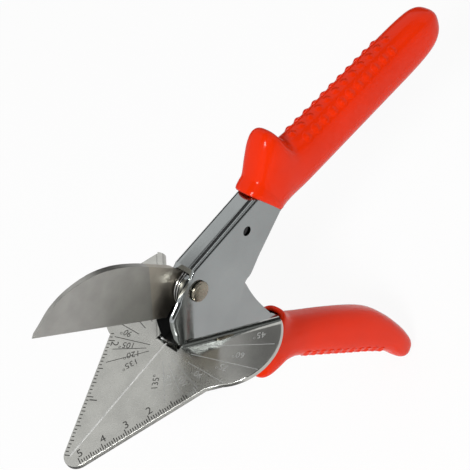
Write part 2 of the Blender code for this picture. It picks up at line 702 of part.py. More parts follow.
def lower_outline(inset):
    """Outline of the closed lower lever: its outer edge, tail, inner edge and round head."""
    half_tail = LOWER_TAIL_HEIGHT / 2
    outer_tail = LOWER_AXIS - half_tail + inset
    inner_tail = LOWER_AXIS + half_tail
    over = OVERRUN if inset else 0.0
    points = [
        along_grip(HEAD_RADIUS * NECK_START_SHARE, -HEAD_RADIUS + inset),
        along_grip(LOWER_NECK_REACH, -LOWER_NECK_DROP + inset),
        along_grip(LOWER_KNEE_REACH, outer_tail),
        along_grip(LOWER_TAIL_REACH + over, outer_tail),
        along_grip(LOWER_TAIL_REACH + over, inner_tail + over),
        along_grip(LOWER_KNEE_REACH * LOWER_INNER_TAIL_START_SHARE, inner_tail + over),
    ]
    for along_share, down_share in LOWER_INNER_SHARES:
        rise = LOWER_GRIP_AXIS_DROP * down_share + over
        points.append(along_grip(LOWER_KNEE_REACH * along_share, rise))
    if inset:
        points.append((-HEAD_RADIUS - over, HEAD_RADIUS + over))
        points.append((-HEAD_RADIUS - over, -HEAD_RADIUS - over))
        points.append(along_grip(HEAD_RADIUS * NECK_START_SHARE, -HEAD_RADIUS - over))
        return points
    return points + arc((0.0, 0.0), HEAD_RADIUS, HEAD_START_ANGLE, HEAD_END_ANGLE, ARC_STEPS * 2)


def make_lower_lever(material, parent):
    item = side_plate("lower_lever", lower_outline(0.0), -LOWER_HALF, LOWER_HALF)
    finish(item, material, parent)
    inside = lower_outline(LOWER_SHEET)
    hollow = side_plate("lower_lever_hollow", inside, -LOWER_INNER_HALF, LOWER_INNER_HALF)
    combine(item, hollow, "DIFFERENCE")
    far = block(
        "lower_far_cut",
        (-HEAD_RADIUS - OVERRUN, -LOWER_INNER_HALF, -FAR_CHEEK_START),
        (FAR_CHEEK_START, LOWER_HALF + OVERRUN, FAR_CHEEK_START),
    )
    combine(item, far, "DIFFERENCE")
    cross_hole(item, "lower_lever_bore", BUSH_RADIUS, (0.0, 0.0))
    for index, spot in enumerate(tang_rivet_places()):
        cross_hole(item, f"lower_tang_hole_{index}", TANG_RIVET_RADIUS, spot)


def tang_rivet_places():
    return [along_grip(reach, -drop) for reach, drop in TANG_RIVET_PLACES]


def tilted(x, z):
    """A place on the blade, turned about the pivot so that its edge meets the plate flat."""
    cosine = math.cos(BLADE_TILT)
    sine = math.sin(BLADE_TILT)
    return x * cosine - z * sine, z * cosine + x * sine


def blade_outline():
    """Outline of the closed blade: its spine, round neck, tang, heel and straight cutting edge."""
    points = []
    for along_share, up_share in SPINE_SHARES:
        points.append(tilted(-BLADE_REACH * along_share, BLADE_HEIGHT * up_share - EDGE_DROP))
    points += arc((0.0, 0.0), HEAD_RADIUS, BLADE_NECK_START_ANGLE, BLADE_NECK_END_ANGLE, ARC_STEPS)
    end_centre = along_grip(TANG_REACH - TANG_END_RADIUS, -TANG_END_DROP)
    points += arc(end_centre, TANG_END_RADIUS, TANG_END_START_ANGLE, TANG_END_STOP_ANGLE, ARC_STEPS)
    points.append(along_grip(HEAD_RADIUS * BLADE_BELLY_SHARE, -HEAD_RADIUS))
    points.append(tilted(-BLADE_HEEL_REACH * BLADE_HEEL_INNER_SHARE, -HEAD_RADIUS * BLADE_HEEL_DROP_SHARE))
    points.append(tilted(-BLADE_HEEL_REACH, -EDGE_DROP))
    return points


def make_blade(material, parent):
    near = CUT_LINE_Y
    far = CUT_LINE_Y + BLADE_THICKNESS
    item = side_plate("blade", blade_outline(), near, far)
    finish(item, material, parent)
    wedge = [
        (near + BLADE_LAND, -EDGE_DROP - OVERRUN),
        (near + BLADE_LAND, -EDGE_DROP),
        (far + CLEARANCE, -EDGE_DROP + BLADE_BEVEL_HEIGHT),
        (far + OVERRUN, -EDGE_DROP + BLADE_BEVEL_HEIGHT),
        (far + OVERRUN, -EDGE_DROP - OVERRUN),
    ]
    length = BLADE_REACH + OVERRUN * 2
    bevel = flat_outline("blade_bevel_cut", wedge, length)
    stand = Matrix(((0, 0, 1, 0), (1, 0, 0, 0), (0, 1, 0, 0), (0, 0, 0, 1)))
    bevel.data.transform(stand)
    bevel.data.transform(Matrix.Translation((OVERRUN - length / 2 - BLADE_HEEL_REACH, 0.0, 0.0)))
    bevel.data.transform(Matrix.Rotation(-BLADE_TILT, 4, "Y"))
    combine(item, bevel, "DIFFERENCE")
    thin = near + BLADE_POINT_THICKNESS
    taper = [
        (-BLADE_TAPER_START, far + CLEARANCE),
        (-BLADE_REACH - OVERRUN, thin),
        (-BLADE_REACH - OVERRUN, far + OVERRUN),
        (-BLADE_TAPER_START, far + OVERRUN),
    ]
    combine(item, flat_outline("blade_taper_cut", taper, BLADE_HEIGHT * 2), "DIFFERENCE")
    cross_hole(item, "blade_bore", BUSH_RADIUS, (0.0, 0.0))
    for index, spot in enumerate(tang_rivet_places()):
        cross_hole(item, f"blade_tang_hole_{index}", TANG_RIVET_RADIUS, spot)


def make_tang_fixings(material, parent):
    """Flush rivets through the tang and the near cheek, with a spacer tube on each."""
    near = -LOWER_INNER_HALF + CLEARANCE
    far = CUT_LINE_Y - CLEARANCE
    inner = TANG_RIVET_RADIUS + CLEARANCE
    outer = inner + TANG_SPACER_WALL
    for number, spot in enumerate(tang_rivet_places(), start=1):
        centre = (spot[0], 0.0, spot[1])
        item = rod(f"tang_rivet_{number}", TANG_RIVET_RADIUS, LOWER_HALF * 2, centre, (0, 1, 0))
        finish(item, material, parent)
        ring(f"tang_spacer_{number}", inner, outer, near, far, spot, material, parent)


def superellipse(count, power):
    """Points around a closed section between a circle and a rounded box, as unit shares."""
    points = []
    for index in range(count):
        angle = 2.0 * math.pi * index / count
        cosine = math.cos(angle)
        sine = math.sin(angle)
        across = math.copysign(abs(cosine) ** (2.0 / power), cosine)
        up = math.copysign(abs(sine) ** (2.0 / power), sine)
        points.append((across, up))
    return points


def make_grip(name, stations, guard_reach, axis, outward, material, parent, pocket):
    """A moulded grip lofted through its stations, with a pocket for the lever's tail."""
    shape = bmesh.new()
    section = superellipse(GRIP_RING_POINTS, GRIP_SECTION_POWER)
    half_height = GRIP_HEIGHT / 2
    half_width = GRIP_WIDTH / 2
    rings = []
    for inner_share, outer_share, low_share, high_share, width_share in stations:
        middle = (low_share + high_share) / 2
        spread = (high_share - low_share) / 2
        loop = []
        for across, up in section:
            lean = (up + 1.0) / 2.0
            reach = guard_reach + GRIP_LENGTH * (inner_share + (outer_share - inner_share) * lean)
            rise = axis + outward * half_height * (middle + spread * up)
            x, z = along_grip(reach, rise)
            loop.append(shape.verts.new((x, half_width * width_share * across, z)))
        rings.append(loop)
    for first, second in zip(rings, rings[1:]):
        for index in range(GRIP_RING_POINTS):
            after = (index + 1) % GRIP_RING_POINTS
            shape.faces.new((first[index], first[after], second[after], second[index]))
    shape.faces.new(rings[0])
    shape.faces.new(rings[-1])
    bmesh.ops.recalc_face_normals(shape, faces=shape.faces)
    mesh = bpy.data.meshes.new(name)
    shape.to_mesh(mesh)
    shape.free()
    item = bpy.data.objects.new(name, mesh)
    bpy.context.scene.collection.objects.link(item)
    finish(item, material, parent)
    combine(item, side_plate(f"{name}_pocket", pocket[0], -pocket[1], pocket[1]), "DIFFERENCE")


def upper_pocket():
    low = UPPER_GRIP_AXIS_RISE - UPPER_TAIL_HEIGHT / 2 - CLEARANCE
    high = UPPER_GRIP_AXIS_RISE + UPPER_TAIL_HEIGHT / 2 + CLEARANCE
    end = UPPER_TAIL_REACH + CLEARANCE
    mouth = UPPER_GRIP_GUARD_REACH * UPPER_POCKET_MOUTH_SHARE
    web_end = along_grip(UPPER_GRIP_GUARD_REACH, 0.0)[0] * WEB_END_SHARE
    depth = PIVOT_ABOVE_PLATE + CHEEK_BELOW_PLATE
    bottom = CHEEK_BOTTOM_SHARES[-1]
    wide_bottom = (CHEEK_BOTTOM_REACH * bottom[0], depth * bottom[1] - CLEARANCE)
    points = [
        (mouth, WEB_ABOVE_PIVOT + CLEARANCE),
        (web_end, WEB_ABOVE_PIVOT + CLEARANCE),
        along_grip(UPPER_GRIP_GUARD_REACH * UPPER_TAIL_START_SHARE, high),
        along_grip(end, high),
        along_grip(end, low),
        along_grip(UPPER_GRIP_GUARD_REACH * UPPER_TAIL_START_SHARE, low),
        wide_bottom,
        (mouth, wide_bottom[1] - OVERRUN),
    ]
    return points, UPPER_HALF + CLEARANCE


def lower_pocket():
    low = LOWER_AXIS - LOWER_TAIL_HEIGHT / 2 - CLEARANCE
    high = LOWER_AXIS + LOWER_TAIL_HEIGHT / 2 + CLEARANCE
    end = LOWER_TAIL_REACH + CLEARANCE
    mouth = LOWER_KNEE_REACH * LOWER_POCKET_MOUTH_SHARE
    rise = LOWER_GRIP_AXIS_DROP * LOWER_INNER_SHARES[0][1] + CLEARANCE
    points = [
        along_grip(mouth, low),
        along_grip(end, low),
        along_grip(end, high),
        along_grip(LOWER_KNEE_REACH * LOWER_INNER_TAIL_START_SHARE, high),
        along_grip(LOWER_KNEE_REACH * LOWER_INNER_SHARES[0][0], rise),
        along_grip(mouth, rise + OVERRUN),
    ]
    return points, LOWER_HALF + CLEARANCE


def spring_points():
    """The wire's middle line: upper leg, coil and lower leg, with the shears open."""
    start_angle = math.pi / 2
    end_angle = math.pi * 1.5 - GRIP_SLOPE - OPEN_ANGLE + 2.0 * math.pi * COIL_EXTRA_TURNS
    turns = (end_angle - start_angle) / (2.0 * math.pi)
    near = -(LOWER_INNER_HALF - CUT_LINE_Y) / 2 - COIL_PITCH * turns / 2
    steps = round(COIL_POINTS_A_TURN * turns)
    points = [(UPPER_LEG_LENGTH, near, COIL_RADIUS), (UPPER_LEG_LENGTH / 2, near, COIL_RADIUS)]
    for index in range(steps + 1):
        share = index / steps
        angle = start_angle + (end_angle - start_angle) * share
        across = near + COIL_PITCH * turns * share
        points.append((COIL_RADIUS * math.cos(angle), across, COIL_RADIUS * math.sin(angle)))
    far = near + COIL_PITCH * turns
    for share in LEG_SHARES:
        reach = LOWER_LEG_LENGTH * share
        x, z = opened(along_grip(reach, -COIL_RADIUS - LOWER_LEG_SPREAD * share))
        points.append((x, far, z))
    return points


def least_self_gap(points):
    """The smallest clear distance between stretches of the wire that aren't neighbours."""
    least = None
    fine = []
    for first, second in zip(points, points[1:]):
        for index in range(SAMPLES_A_SPAN):
            fine.append(Vector(first).lerp(Vector(second), index / SAMPLES_A_SPAN))
    skip = COIL_POINTS_A_TURN * SAMPLES_A_SPAN // 2
    for index, spot in enumerate(fine):
        for other in fine[index + skip:]:
            gap = (spot - other).length - WIRE_RADIUS * 2
            least = gap if least is None else min(least, gap)
    return least


def make_spring(material, parent):
    points = spring_points()
    data = bpy.data.curves.new("opening_spring", "CURVE")
    data.dimensions = "3D"
    data.bevel_depth = WIRE_RADIUS
    data.bevel_resolution = 1
    data.use_fill_caps = True
    spline = data.splines.new("POLY")
    spline.points.add(len(points) - 1)
    for spline_point, spot in zip(spline.points, points):
        spline_point.co = (*spot, 1.0)
    curve_object = bpy.data.objects.new("opening_spring", data)
    bpy.context.scene.collection.objects.link(curve_object)
    item = curve_to_mesh(curve_object, "opening_spring")
    finish(item, material, parent)
    print("opening_spring least gap to itself, mm:", round(least_self_gap(points) * 1000.0, 3))


def make_empty(name, location, opening):
    empty = bpy.data.objects.new(name, None)
    empty.location = location
    empty.rotation_euler = (0.0, opening, 0.0)
    parts.objects.link(empty)
    return empty


def main():
    global parts, cutters
    clear_scene()
    parts = make_collection(OBJECT_NAME)
    cutters = make_collection(f"{OBJECT_NAME}_cutters")
    chrome = make_material("chromed_steel", (0.62, 0.63, 0.64), 0.18, 1.0)
    satin = make_material("satin_steel", (0.52, 0.52, 0.50), 0.38, 1.0)
    ground = make_material("ground_blade_steel", (0.46, 0.46, 0.44), 0.34, 1.0)
    rivet = make_material("nickelled_rivet", (0.56, 0.54, 0.49), 0.40, 1.0)
    spring = make_material("spring_wire", (0.50, 0.50, 0.50), 0.30, 1.0)
    moulded = make_material("moulded_orange_vinyl", (0.90, 0.07, 0.015), 0.30, 0.0)

    pivot = (PIVOT_X, 0.0, PIVOT_Z)
    fixed = make_empty("fixed_member", pivot, 0.0)
    moving = make_empty("moving_member", pivot, OPEN_ANGLE)

    make_upper_lever(chrome, fixed)
    make_mitre_plate(satin)
    make_plate_carrier(satin, fixed)
    make_carrier_rivets(rivet, fixed)
    make_plate_rivets(rivet, fixed)
    make_pivot_rivet(rivet, fixed)
    bush_reach = UPPER_INNER_HALF - CLEARANCE
    bush_bore = PIVOT_SHAFT_RADIUS + CLEARANCE
    ring("pivot_bush", bush_bore, BUSH_RADIUS, -bush_reach, bush_reach, (0.0, 0.0), satin, fixed)
    make_spring(spring, fixed)
    upper_line = (UPPER_GRIP_GUARD_REACH, UPPER_GRIP_AXIS_RISE, 1.0)
    make_grip("upper_grip", UPPER_GRIP_STATION_SHARES, *upper_line, moulded, fixed, upper_pocket())

    make_blade(ground, moving)
    make_lower_lever(chrome, moving)
    make_tang_fixings(rivet, moving)
    lower_line = (LOWER_GRIP_GUARD_REACH, LOWER_AXIS, -1.0)
    make_grip("lower_grip", LOWER_GRIP_STATION_SHARES, *lower_line, moulded, moving, lower_pocket())


main()
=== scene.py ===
"""Mitre shears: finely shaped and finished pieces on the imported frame.

X runs to the ends of the handles, Y away from the near side and Z up from the mitre plate.
Shapes are worked out in millimetres and made in metres.
"""
import math

import bmesh
import bpy
from mathutils import Matrix, Vector


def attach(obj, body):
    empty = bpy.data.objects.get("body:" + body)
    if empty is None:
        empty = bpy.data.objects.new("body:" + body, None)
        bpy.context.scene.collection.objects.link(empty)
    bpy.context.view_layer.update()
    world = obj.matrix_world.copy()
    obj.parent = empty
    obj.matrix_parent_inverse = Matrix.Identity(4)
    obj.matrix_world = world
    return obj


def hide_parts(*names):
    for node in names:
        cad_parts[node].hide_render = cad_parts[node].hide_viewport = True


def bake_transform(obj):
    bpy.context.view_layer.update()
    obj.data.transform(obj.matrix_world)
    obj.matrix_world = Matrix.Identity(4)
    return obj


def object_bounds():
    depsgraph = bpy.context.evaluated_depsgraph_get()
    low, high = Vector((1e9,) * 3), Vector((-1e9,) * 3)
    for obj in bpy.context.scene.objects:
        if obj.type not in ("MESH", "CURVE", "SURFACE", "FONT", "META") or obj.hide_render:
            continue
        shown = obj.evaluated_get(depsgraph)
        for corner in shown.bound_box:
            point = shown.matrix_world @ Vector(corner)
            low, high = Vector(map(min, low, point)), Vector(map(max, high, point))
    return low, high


bl_info = {
    "name": "Mitre shears",
    "version": (1, 0, 0),
    "blender": (4, 5, 0),
    "location": "3D View > Sidebar > Mitre shears",
    "description": "Builds the pieces and finishes of mitre shears on their packed frame",
    "category": "Object",
}

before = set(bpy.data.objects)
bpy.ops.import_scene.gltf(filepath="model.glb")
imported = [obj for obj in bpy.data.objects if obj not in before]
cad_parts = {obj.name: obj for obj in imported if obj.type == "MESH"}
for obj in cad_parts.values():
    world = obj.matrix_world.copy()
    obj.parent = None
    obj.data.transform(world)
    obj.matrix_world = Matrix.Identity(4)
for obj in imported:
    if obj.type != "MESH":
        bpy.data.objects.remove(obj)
cad_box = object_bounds()

FIXED_BODY = "upper_member"
MOVING_BODY = "lower_member"

# Sizes are in millimetres. The pivot, the point where the plate's angle lines meet, and the line that the
# blade cuts along
PIVOT = Vector((44.4, 0.0, 15.2))
FAN_X = 22.0
CUT_LINE_Y = 0.8
PIVOT_ABOVE_PLATE = 13.0
OPEN_ANGLE = math.radians(47.0)

# The plate: its top and middle line, the slope of the nose's edges and the point where they would meet, and
# the tab and rims that are turned down
PLATE_TOP = 2.2
PLATE_MIDDLE = -1.0
NOSE_SLOPE = math.radians(23.6)
NOSE_APEX = Vector((FAN_X - 65.7, PLATE_MIDDLE))
NOSE_RADIUS = 5.6
RIM_DEPTH = 4.4
TAB_X = 25.5
TAB_HALF = 5.7
TAB_DEPTH = 15.0

# The levers: half widths, the upper web and its cheeks' depth, the lower lever's round head and its knee,
# half the height of a tail, and the bores at the pivot
UPPER_HALF = 5.4
UPPER_TOP = 10.0
CHEEK_BELOW_PLATE = 20.0
LOWER_HALF = 3.6
HEAD_RADIUS = 7.8
KNEE_REACH = 46.0
TAIL_HALF = 5.5
PIVOT_BORE = 3.3
BUSH_BORE = 4.6

# The blade: its length, height, and how far its edge lies below the pivot
BLADE_REACH = 74.4
BLADE_HEIGHT = 23.2
EDGE_DROP = 12.7
BLADE_TILT = math.radians(0.8)

# The grips: slope, where each guard starts, height of each middle line, the size of a plain section, and the
# domes: their start as a share of the length, and each row's place across, first step and count
GRIP_SLOPE = math.radians(5.0)
UPPER_GUARD = 52.0
UPPER_AXIS = 7.3
LOWER_GUARD = 60.5
LOWER_AXIS = -20.7
GRIP_LENGTH = 103.0
GRIP_HALF_HEIGHT = 11.0
GRIP_HALF_WIDTH = 7.5
SECTION_POWER = 2.7
DOMES_START = 0.165
DOME_ROWS = ((-5.2, 0.5, 11), (0.0, 0.0, 12), (5.2, 0.5, 11))

# The spring: radius of its coil, rise of one turn, and the middle of the coil across the levers
COIL_RADIUS = 7.5
COIL_PITCH = 1.25
COIL_MIDDLE = -0.8

# How far a cutter runs past what it cuts, and a turn that lays a slab's height along X
OVER = 4.0
ALONG_X = Matrix(((0, 0, 1, 0), (1, 0, 0, 0), (0, 1, 0, 0), (0, 0, 0, 1)))

# The camera that was fitted to the photo, in metres
CAMERA_SPOT = (-0.12543, -0.39642, 0.49277)
CAMERA_LENS = 130.2
CAMERA_TURN = Matrix((
    (0.62006581, 0.72384377, -0.30260303),
    (-0.71055612, 0.35461348, -0.60774936),
    (-0.33260847, 0.59186103, 0.73421531),
))

# Where the pieces of each member are worked out, and where they stand in the frame
FIXED_PLACE = Matrix.Translation(PIVOT)
OPEN_TURN = Matrix.Rotation(OPEN_ANGLE, 4, "Y")
MOVING_PLACE = FIXED_PLACE @ OPEN_TURN
GRIP_TURN = Matrix.Rotation(GRIP_SLOPE, 4, "Y")

# Outlines as shares of a reach and a height
SPINE_SHARES = (
    (1.000, 0.000), (0.965, 0.185), (0.924, 0.421), (0.878, 0.582), (0.827, 0.709), (0.774, 0.802),
    (0.720, 0.881), (0.661, 0.939), (0.601, 0.975), (0.540, 0.994), (0.479, 1.000), (0.416, 0.993),
    (0.351, 0.977), (0.286, 0.948), (0.207, 0.914), (0.116, 0.871),
)
CHEEK_FRONT_SHARES = (
    (0.000, 0.560), (0.220, 0.480), (0.440, 0.350), (0.620, 0.215), (0.760, 0.120), (0.850, 0.010),
    (0.905, -0.180), (0.950, -0.400), (0.980, -0.650), (1.000, -0.960),
)
CHEEK_BOTTOM_REACH = 46.9
CHEEK_BOTTOM_SHARES = (
    (-0.396, -0.820), (-0.340, -0.930), (-0.240, -0.990), (-0.080, -1.000), (0.040, -0.960),
    (0.179, -0.866), (0.252, -0.748), (0.390, -0.560), (0.482, -0.530), (0.563, -0.472),
    (0.620, -0.427), (1.000, -0.190),
)
LOWER_INNER_SHARES = (
    (1.100, -0.520), (1.000, -0.415), (0.840, -0.230), (0.707, -0.040), (0.607, 0.125), (0.480, 0.260),
    (0.330, 0.350),
)

# Grip stations: place on the inner and outer side, inner and outer side, and width, all as shares
UPPER_GRIP_SHARES = (
    (-0.030, -0.136, -1.00, 0.78, 0.96),
    (-0.025, -0.124, -1.00, 0.85, 1.01),
    (-0.019, -0.104, -1.00, 0.94, 1.02),
    (-0.012, -0.082, -1.00, 1.08, 0.99),
    (0.000, -0.042, -1.00, 1.62, 1.02),
    (0.014, -0.002, -1.00, 2.08, 1.06),
    (0.030, 0.032, -1.00, 2.27, 1.07),
    (0.052, 0.062, -1.00, 2.13, 1.06),
    (0.076, 0.086, -1.00, 1.60, 1.03),
    (0.105, 0.109, -1.00, 1.18, 1.01),
    (0.150, 0.150, -1.00, 1.03, 1.00),
    (0.300, 0.300, -1.00, 0.98, 1.00),
    (0.640, 0.640, -1.00, 0.97, 1.00),
    (0.780, 0.780, -0.99, 0.96, 1.00),
    (0.860, 0.860, -0.95, 0.93, 0.98),
    (0.920, 0.920, -0.84, 0.86, 0.93),
    (0.960, 0.960, -0.65, 0.72, 0.79),
    (0.985, 0.985, -0.40, 0.50, 0.56),
    (1.000, 1.000, -0.12, 0.22, 0.26),
)
LOWER_GRIP_SHARES = (
    (-0.030, -0.136, -0.93, 0.66, 0.96),
    (-0.022, -0.116, -1.00, 0.72, 1.00),
    (-0.010, -0.086, -0.98, 1.00, 1.02),
    (0.004, -0.062, -0.90, 1.42, 1.04),
    (0.020, -0.040, -0.84, 1.70, 1.05),
    (0.036, -0.014, -0.80, 1.72, 1.05),
    (0.056, 0.018, -0.78, 1.50, 1.04),
    (0.080, 0.058, -0.78, 1.16, 1.02),
    (0.110, 0.100, -0.79, 0.97, 1.01),
    (0.160, 0.155, -0.82, 0.88, 1.00),
    (0.300, 0.300, -0.92, 0.86, 1.00),
    (0.480, 0.480, -0.99, 0.85, 1.00),
    (0.600, 0.600, -0.93, 0.83, 1.00),
    (0.700, 0.700, -0.70, 0.84, 1.00),
    (0.780, 0.780, -0.42, 0.90, 0.99),
    (0.845, 0.845, -0.16, 1.07, 0.96),
    (0.900, 0.900, 0.12, 1.18, 0.87),
    (0.935, 0.935, 0.34, 1.15, 0.70),
    (0.955, 0.955, 0.56, 1.04, 0.46),
)


def mm(metres):
    return metres * 1000.0


FLOOR_TOP = mm(cad_box[0][2]) - 1.0

# Shapes


def smooth_line(points, steps):
    """A curve through all the points, with so many steps between neighbours."""
    rows = [Vector(point) for point in points]
    rows = [rows[0] * 2 - rows[1]] + rows + [rows[-1] * 2 - rows[-2]]
    made = []
    for index in range(1, len(rows) - 2):
        before, start, end, after = rows[index - 1:index + 3]
        for step in range(steps):
            t = step / steps
            spot = start * 2 + (end - before) * t
            spot += (before * 2 - start * 5 + end * 4 - after) * t * t
            spot += (start * 3 - before - end * 3 + after) * t * t * t
            made.append(spot / 2)
    made.append(rows[-2])
    return [tuple(spot) for spot in made]


def arc(centre, radius, start, end, steps):
    """Points on an arc from one angle to another, both ends included."""
    points = []
    for index in range(steps + 1):
        angle = start + (end - start) * index / steps
        points.append((centre[0] + radius * math.cos(angle), centre[1] + radius * math.sin(angle)))
    return points


def along_grip(reach, rise):
    """A place in X and Z from the pivot: so far along a grip and so far above it."""
    x = reach * math.cos(GRIP_SLOPE) + rise * math.sin(GRIP_SLOPE)
    z = rise * math.cos(GRIP_SLOPE) - reach * math.sin(GRIP_SLOPE)
    return x, z


def join_rings(shape, rings):
    """Faces between neighbouring rings of vertices."""
    for before, after in zip(rings, rings[1:]):
        for index in range(len(before)):
            beside = (index + 1) % len(before)
            shape.faces.new((before[index], before[beside], after[beside], after[index]))


def slab(outline, low, high):
    """A block of constant outline in X and Y, between two heights."""
    shape = bmesh.new()
    lower = [shape.verts.new((x, y, low)) for x, y in outline]
    upper = [shape.verts.new((x, y, high)) for x, y in outline]
    shape.faces.new(lower[::-1])
    shape.faces.new(upper)
    join_rings(shape, (lower, upper))
    bmesh.ops.recalc_face_normals(shape, faces=shape.faces)
    return shape


def side_slab(outline, near, far):
    """A block whose outline is given in X and Z, between two values of Y."""
    shape = slab(outline, -far, -near)
    shape.transform(Matrix.Rotation(math.radians(90.0), 4, "X"))
    return shape


def box_shape(low, high):
    """A plain block between two corners, used as a cutter or a strip."""
    outline = [(low[0], low[1]), (high[0], low[1]), (high[0], high[1]), (low[0], high[1])]
    return slab(outline, low[2], high[2])


def folded_block(outline, half, folds, steps):
    """A block along Y with an outline in X and Z, rounded at both sides where the outline has folds.

    folds gives, for the number of a point, the direction inwards in X and Z and the fold's radius.
    """
    widest = max(radius for _, radius in folds.values())
    gaps = [widest * (1.0 - math.cos(math.pi / 2 * index / steps)) for index in range(steps + 1)]
    rings = []
    shape = bmesh.new()
    for side, row in ((-1.0, gaps), (1.0, gaps[::-1])):
        for gap in row:
            ring = []
            for index, (x, z) in enumerate(outline):
                inward, radius = folds.get(index, ((0.0, 0.0), 0.0))
                back = radius - math.sqrt(radius ** 2 - max(radius - gap, 0.0) ** 2)
                spot = (x + inward[0] * back, side * (half - gap), z + inward[1] * back)
                ring.append(shape.verts.new(spot))
            rings.append(ring)
    join_rings(shape, rings)
    shape.faces.new(rings[0])
    shape.faces.new(rings[-1])
    bmesh.ops.recalc_face_normals(shape, faces=shape.faces)
    return shape


def round_rims(shape, axis, values, radius, segments):
    """Round the edges whose ends both lie at one of the values of an axis."""
    edges = []
    for value in values:
        for edge in shape.edges:
            if all(abs(vert.co[axis] - value) < 1e-4 for vert in edge.verts):
                edges.append(edge)
    bmesh.ops.bevel(shape, geom=edges, offset=radius, segments=segments, profile=0.5, affect="EDGES")


def lathe(profile, steps, axis):
    """A turned shape: radius and height pairs, top to bottom, about the given axis."""
    shape = bmesh.new()
    rings = []
    for radius, height in profile:
        spots = arc((0.0, 0.0), radius, 0.0, math.tau, steps)[:-1] if radius else [(0.0, 0.0)]
        rings.append([shape.verts.new((x, y, height)) for x, y in spots])
    for first, second in zip(rings, rings[1:]):
        for index in range(steps):
            after = (index + 1) % steps
            corners = [first[index % len(first)], second[index % len(second)]]
            corners += [second[after % len(second)], first[after % len(first)]]
            shape.faces.new(list(dict.fromkeys(corners)))
    bmesh.ops.recalc_face_normals(shape, faces=shape.faces)
    shape.transform(Vector((0.0, 0.0, 1.0)).rotation_difference(Vector(axis)).to_matrix().to_4x4())
    return shape


def peg(radius, half, axis, spot):
    """A round cutter about an axis, that reaches equally far to both sides of a spot."""
    shape = lathe([(0.0, half), (radius, half), (radius, -half), (0.0, -half)], 48, axis)
    shape.transform(Matrix.Translation(spot))
    return shape


def worked_out_mesh(item):
    """A new mesh of an object as its modifiers or its curve settings make it."""
    bpy.context.view_layer.update()
    return bpy.data.meshes.new_from_object(item.evaluated_get(bpy.context.evaluated_depsgraph_get()))


def curve_shape(data):
    """The surface of curve or text data as a shape. The data is used up."""
    item = bpy.data.objects.new(data.name, data)
    bpy.context.scene.collection.objects.link(item)
    mesh = worked_out_mesh(item)
    shape = bmesh.new()
    shape.from_mesh(mesh)
    bmesh.ops.remove_doubles(shape, verts=shape.verts, dist=0.0005)
    bpy.data.objects.remove(item, do_unlink=True)
    bpy.data.curves.remove(data)
    bpy.data.meshes.remove(mesh)
    return shape


def join_shapes(shapes):
    """One shape that holds copies of all the given ones."""
    whole = bmesh.new()
    for shape in shapes:
        mesh = bpy.data.meshes.new("part")
        shape.to_mesh(mesh)
        shape.free()
        whole.from_mesh(mesh)
        bpy.data.meshes.remove(mesh)
    return whole


def make_object(name, shape, materials, place=Matrix.Identity(4)):
    """Make an object in metres, with its materials, from a shape worked out in millimetres."""
    shape.transform(Matrix.Scale(0.001, 4) @ place)
    mesh = bpy.data.meshes.new(name)
    shape.to_mesh(mesh)
    shape.free()
    item = bpy.data.objects.new(name, mesh)
    bpy.context.scene.collection.objects.link(item)
    for material in materials:
        mesh.materials.append(material)
    return item


def combine(item, tool, operation):
    """Add or cut away a tool object, and remove the tool."""
    modifier = item.modifiers.new("combine", "BOOLEAN")
    modifier.operation = operation
    modifier.solver = "EXACT"
    modifier.object = tool
    mesh = worked_out_mesh(item)
    item.modifiers.clear()
    old = item.data
    item.data = mesh
    mesh.name = item.name
    bpy.data.meshes.remove(old)
    bpy.data.objects.remove(tool, do_unlink=True)


def cut(item, shape, place=Matrix.Identity(4), slot=0):
    """Cut a shape away, and give the faces that it leaves one of the item's material slots."""
    tool = make_object("cutter", shape, [None] * (slot + 1), place)
    tool.data.polygons.foreach_set("material_index", [slot] * len(tool.data.polygons))
    combine(item, tool, "DIFFERENCE")


def cut_bores(item, place, bores):
    """Cut round holes along Y, each given by its radius and its place in X and Z."""
    for radius, x, z in bores:
        cut(item, peg(radius, 12.0, (0, 1, 0), (x, 0.0, z)), place)


def finish(item, body, replaced, sharp=32.0):
    """Shade a piece, let it ride on its body and hide the nodes it stands for."""
    item.data.shade_smooth()
    item.data.set_sharp_from_angle(angle=math.radians(sharp))
    weighted = item.modifiers.new("even_normals", "WEIGHTED_NORMAL")
    weighted.keep_sharp = True
    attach(item, body)
    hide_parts(*replaced)


# Finishes


def colour(text):
    """A linear colour from an sRGB hex value."""
    made = []
    for index in (1, 3, 5):
        value = int(text[index:index + 2], 16) / 255.0
        made.append(value / 12.92 if value <= 0.04045 else ((value + 0.055) / 1.055) ** 2.4)
    return made


def node(tree, kind, inputs=None, **settings):
    """Add a node, set its properties, and fill its inputs with values or links."""
    made = tree.nodes.new(kind)
    for name, value in settings.items():
        setattr(made, name, value)
    for name, value in (inputs or {}).items():
        socket = made.inputs[name]
        if isinstance(value, bpy.types.NodeSocket):
            tree.links.new(value, socket)
        else:
            socket.default_value = value
    return made


def new_material(name):
    """An empty material and its shader node."""
    material = bpy.data.materials.new(name)
    material.use_nodes = True
    tree = material.node_tree
    return material, tree, tree.nodes["Principled BSDF"]


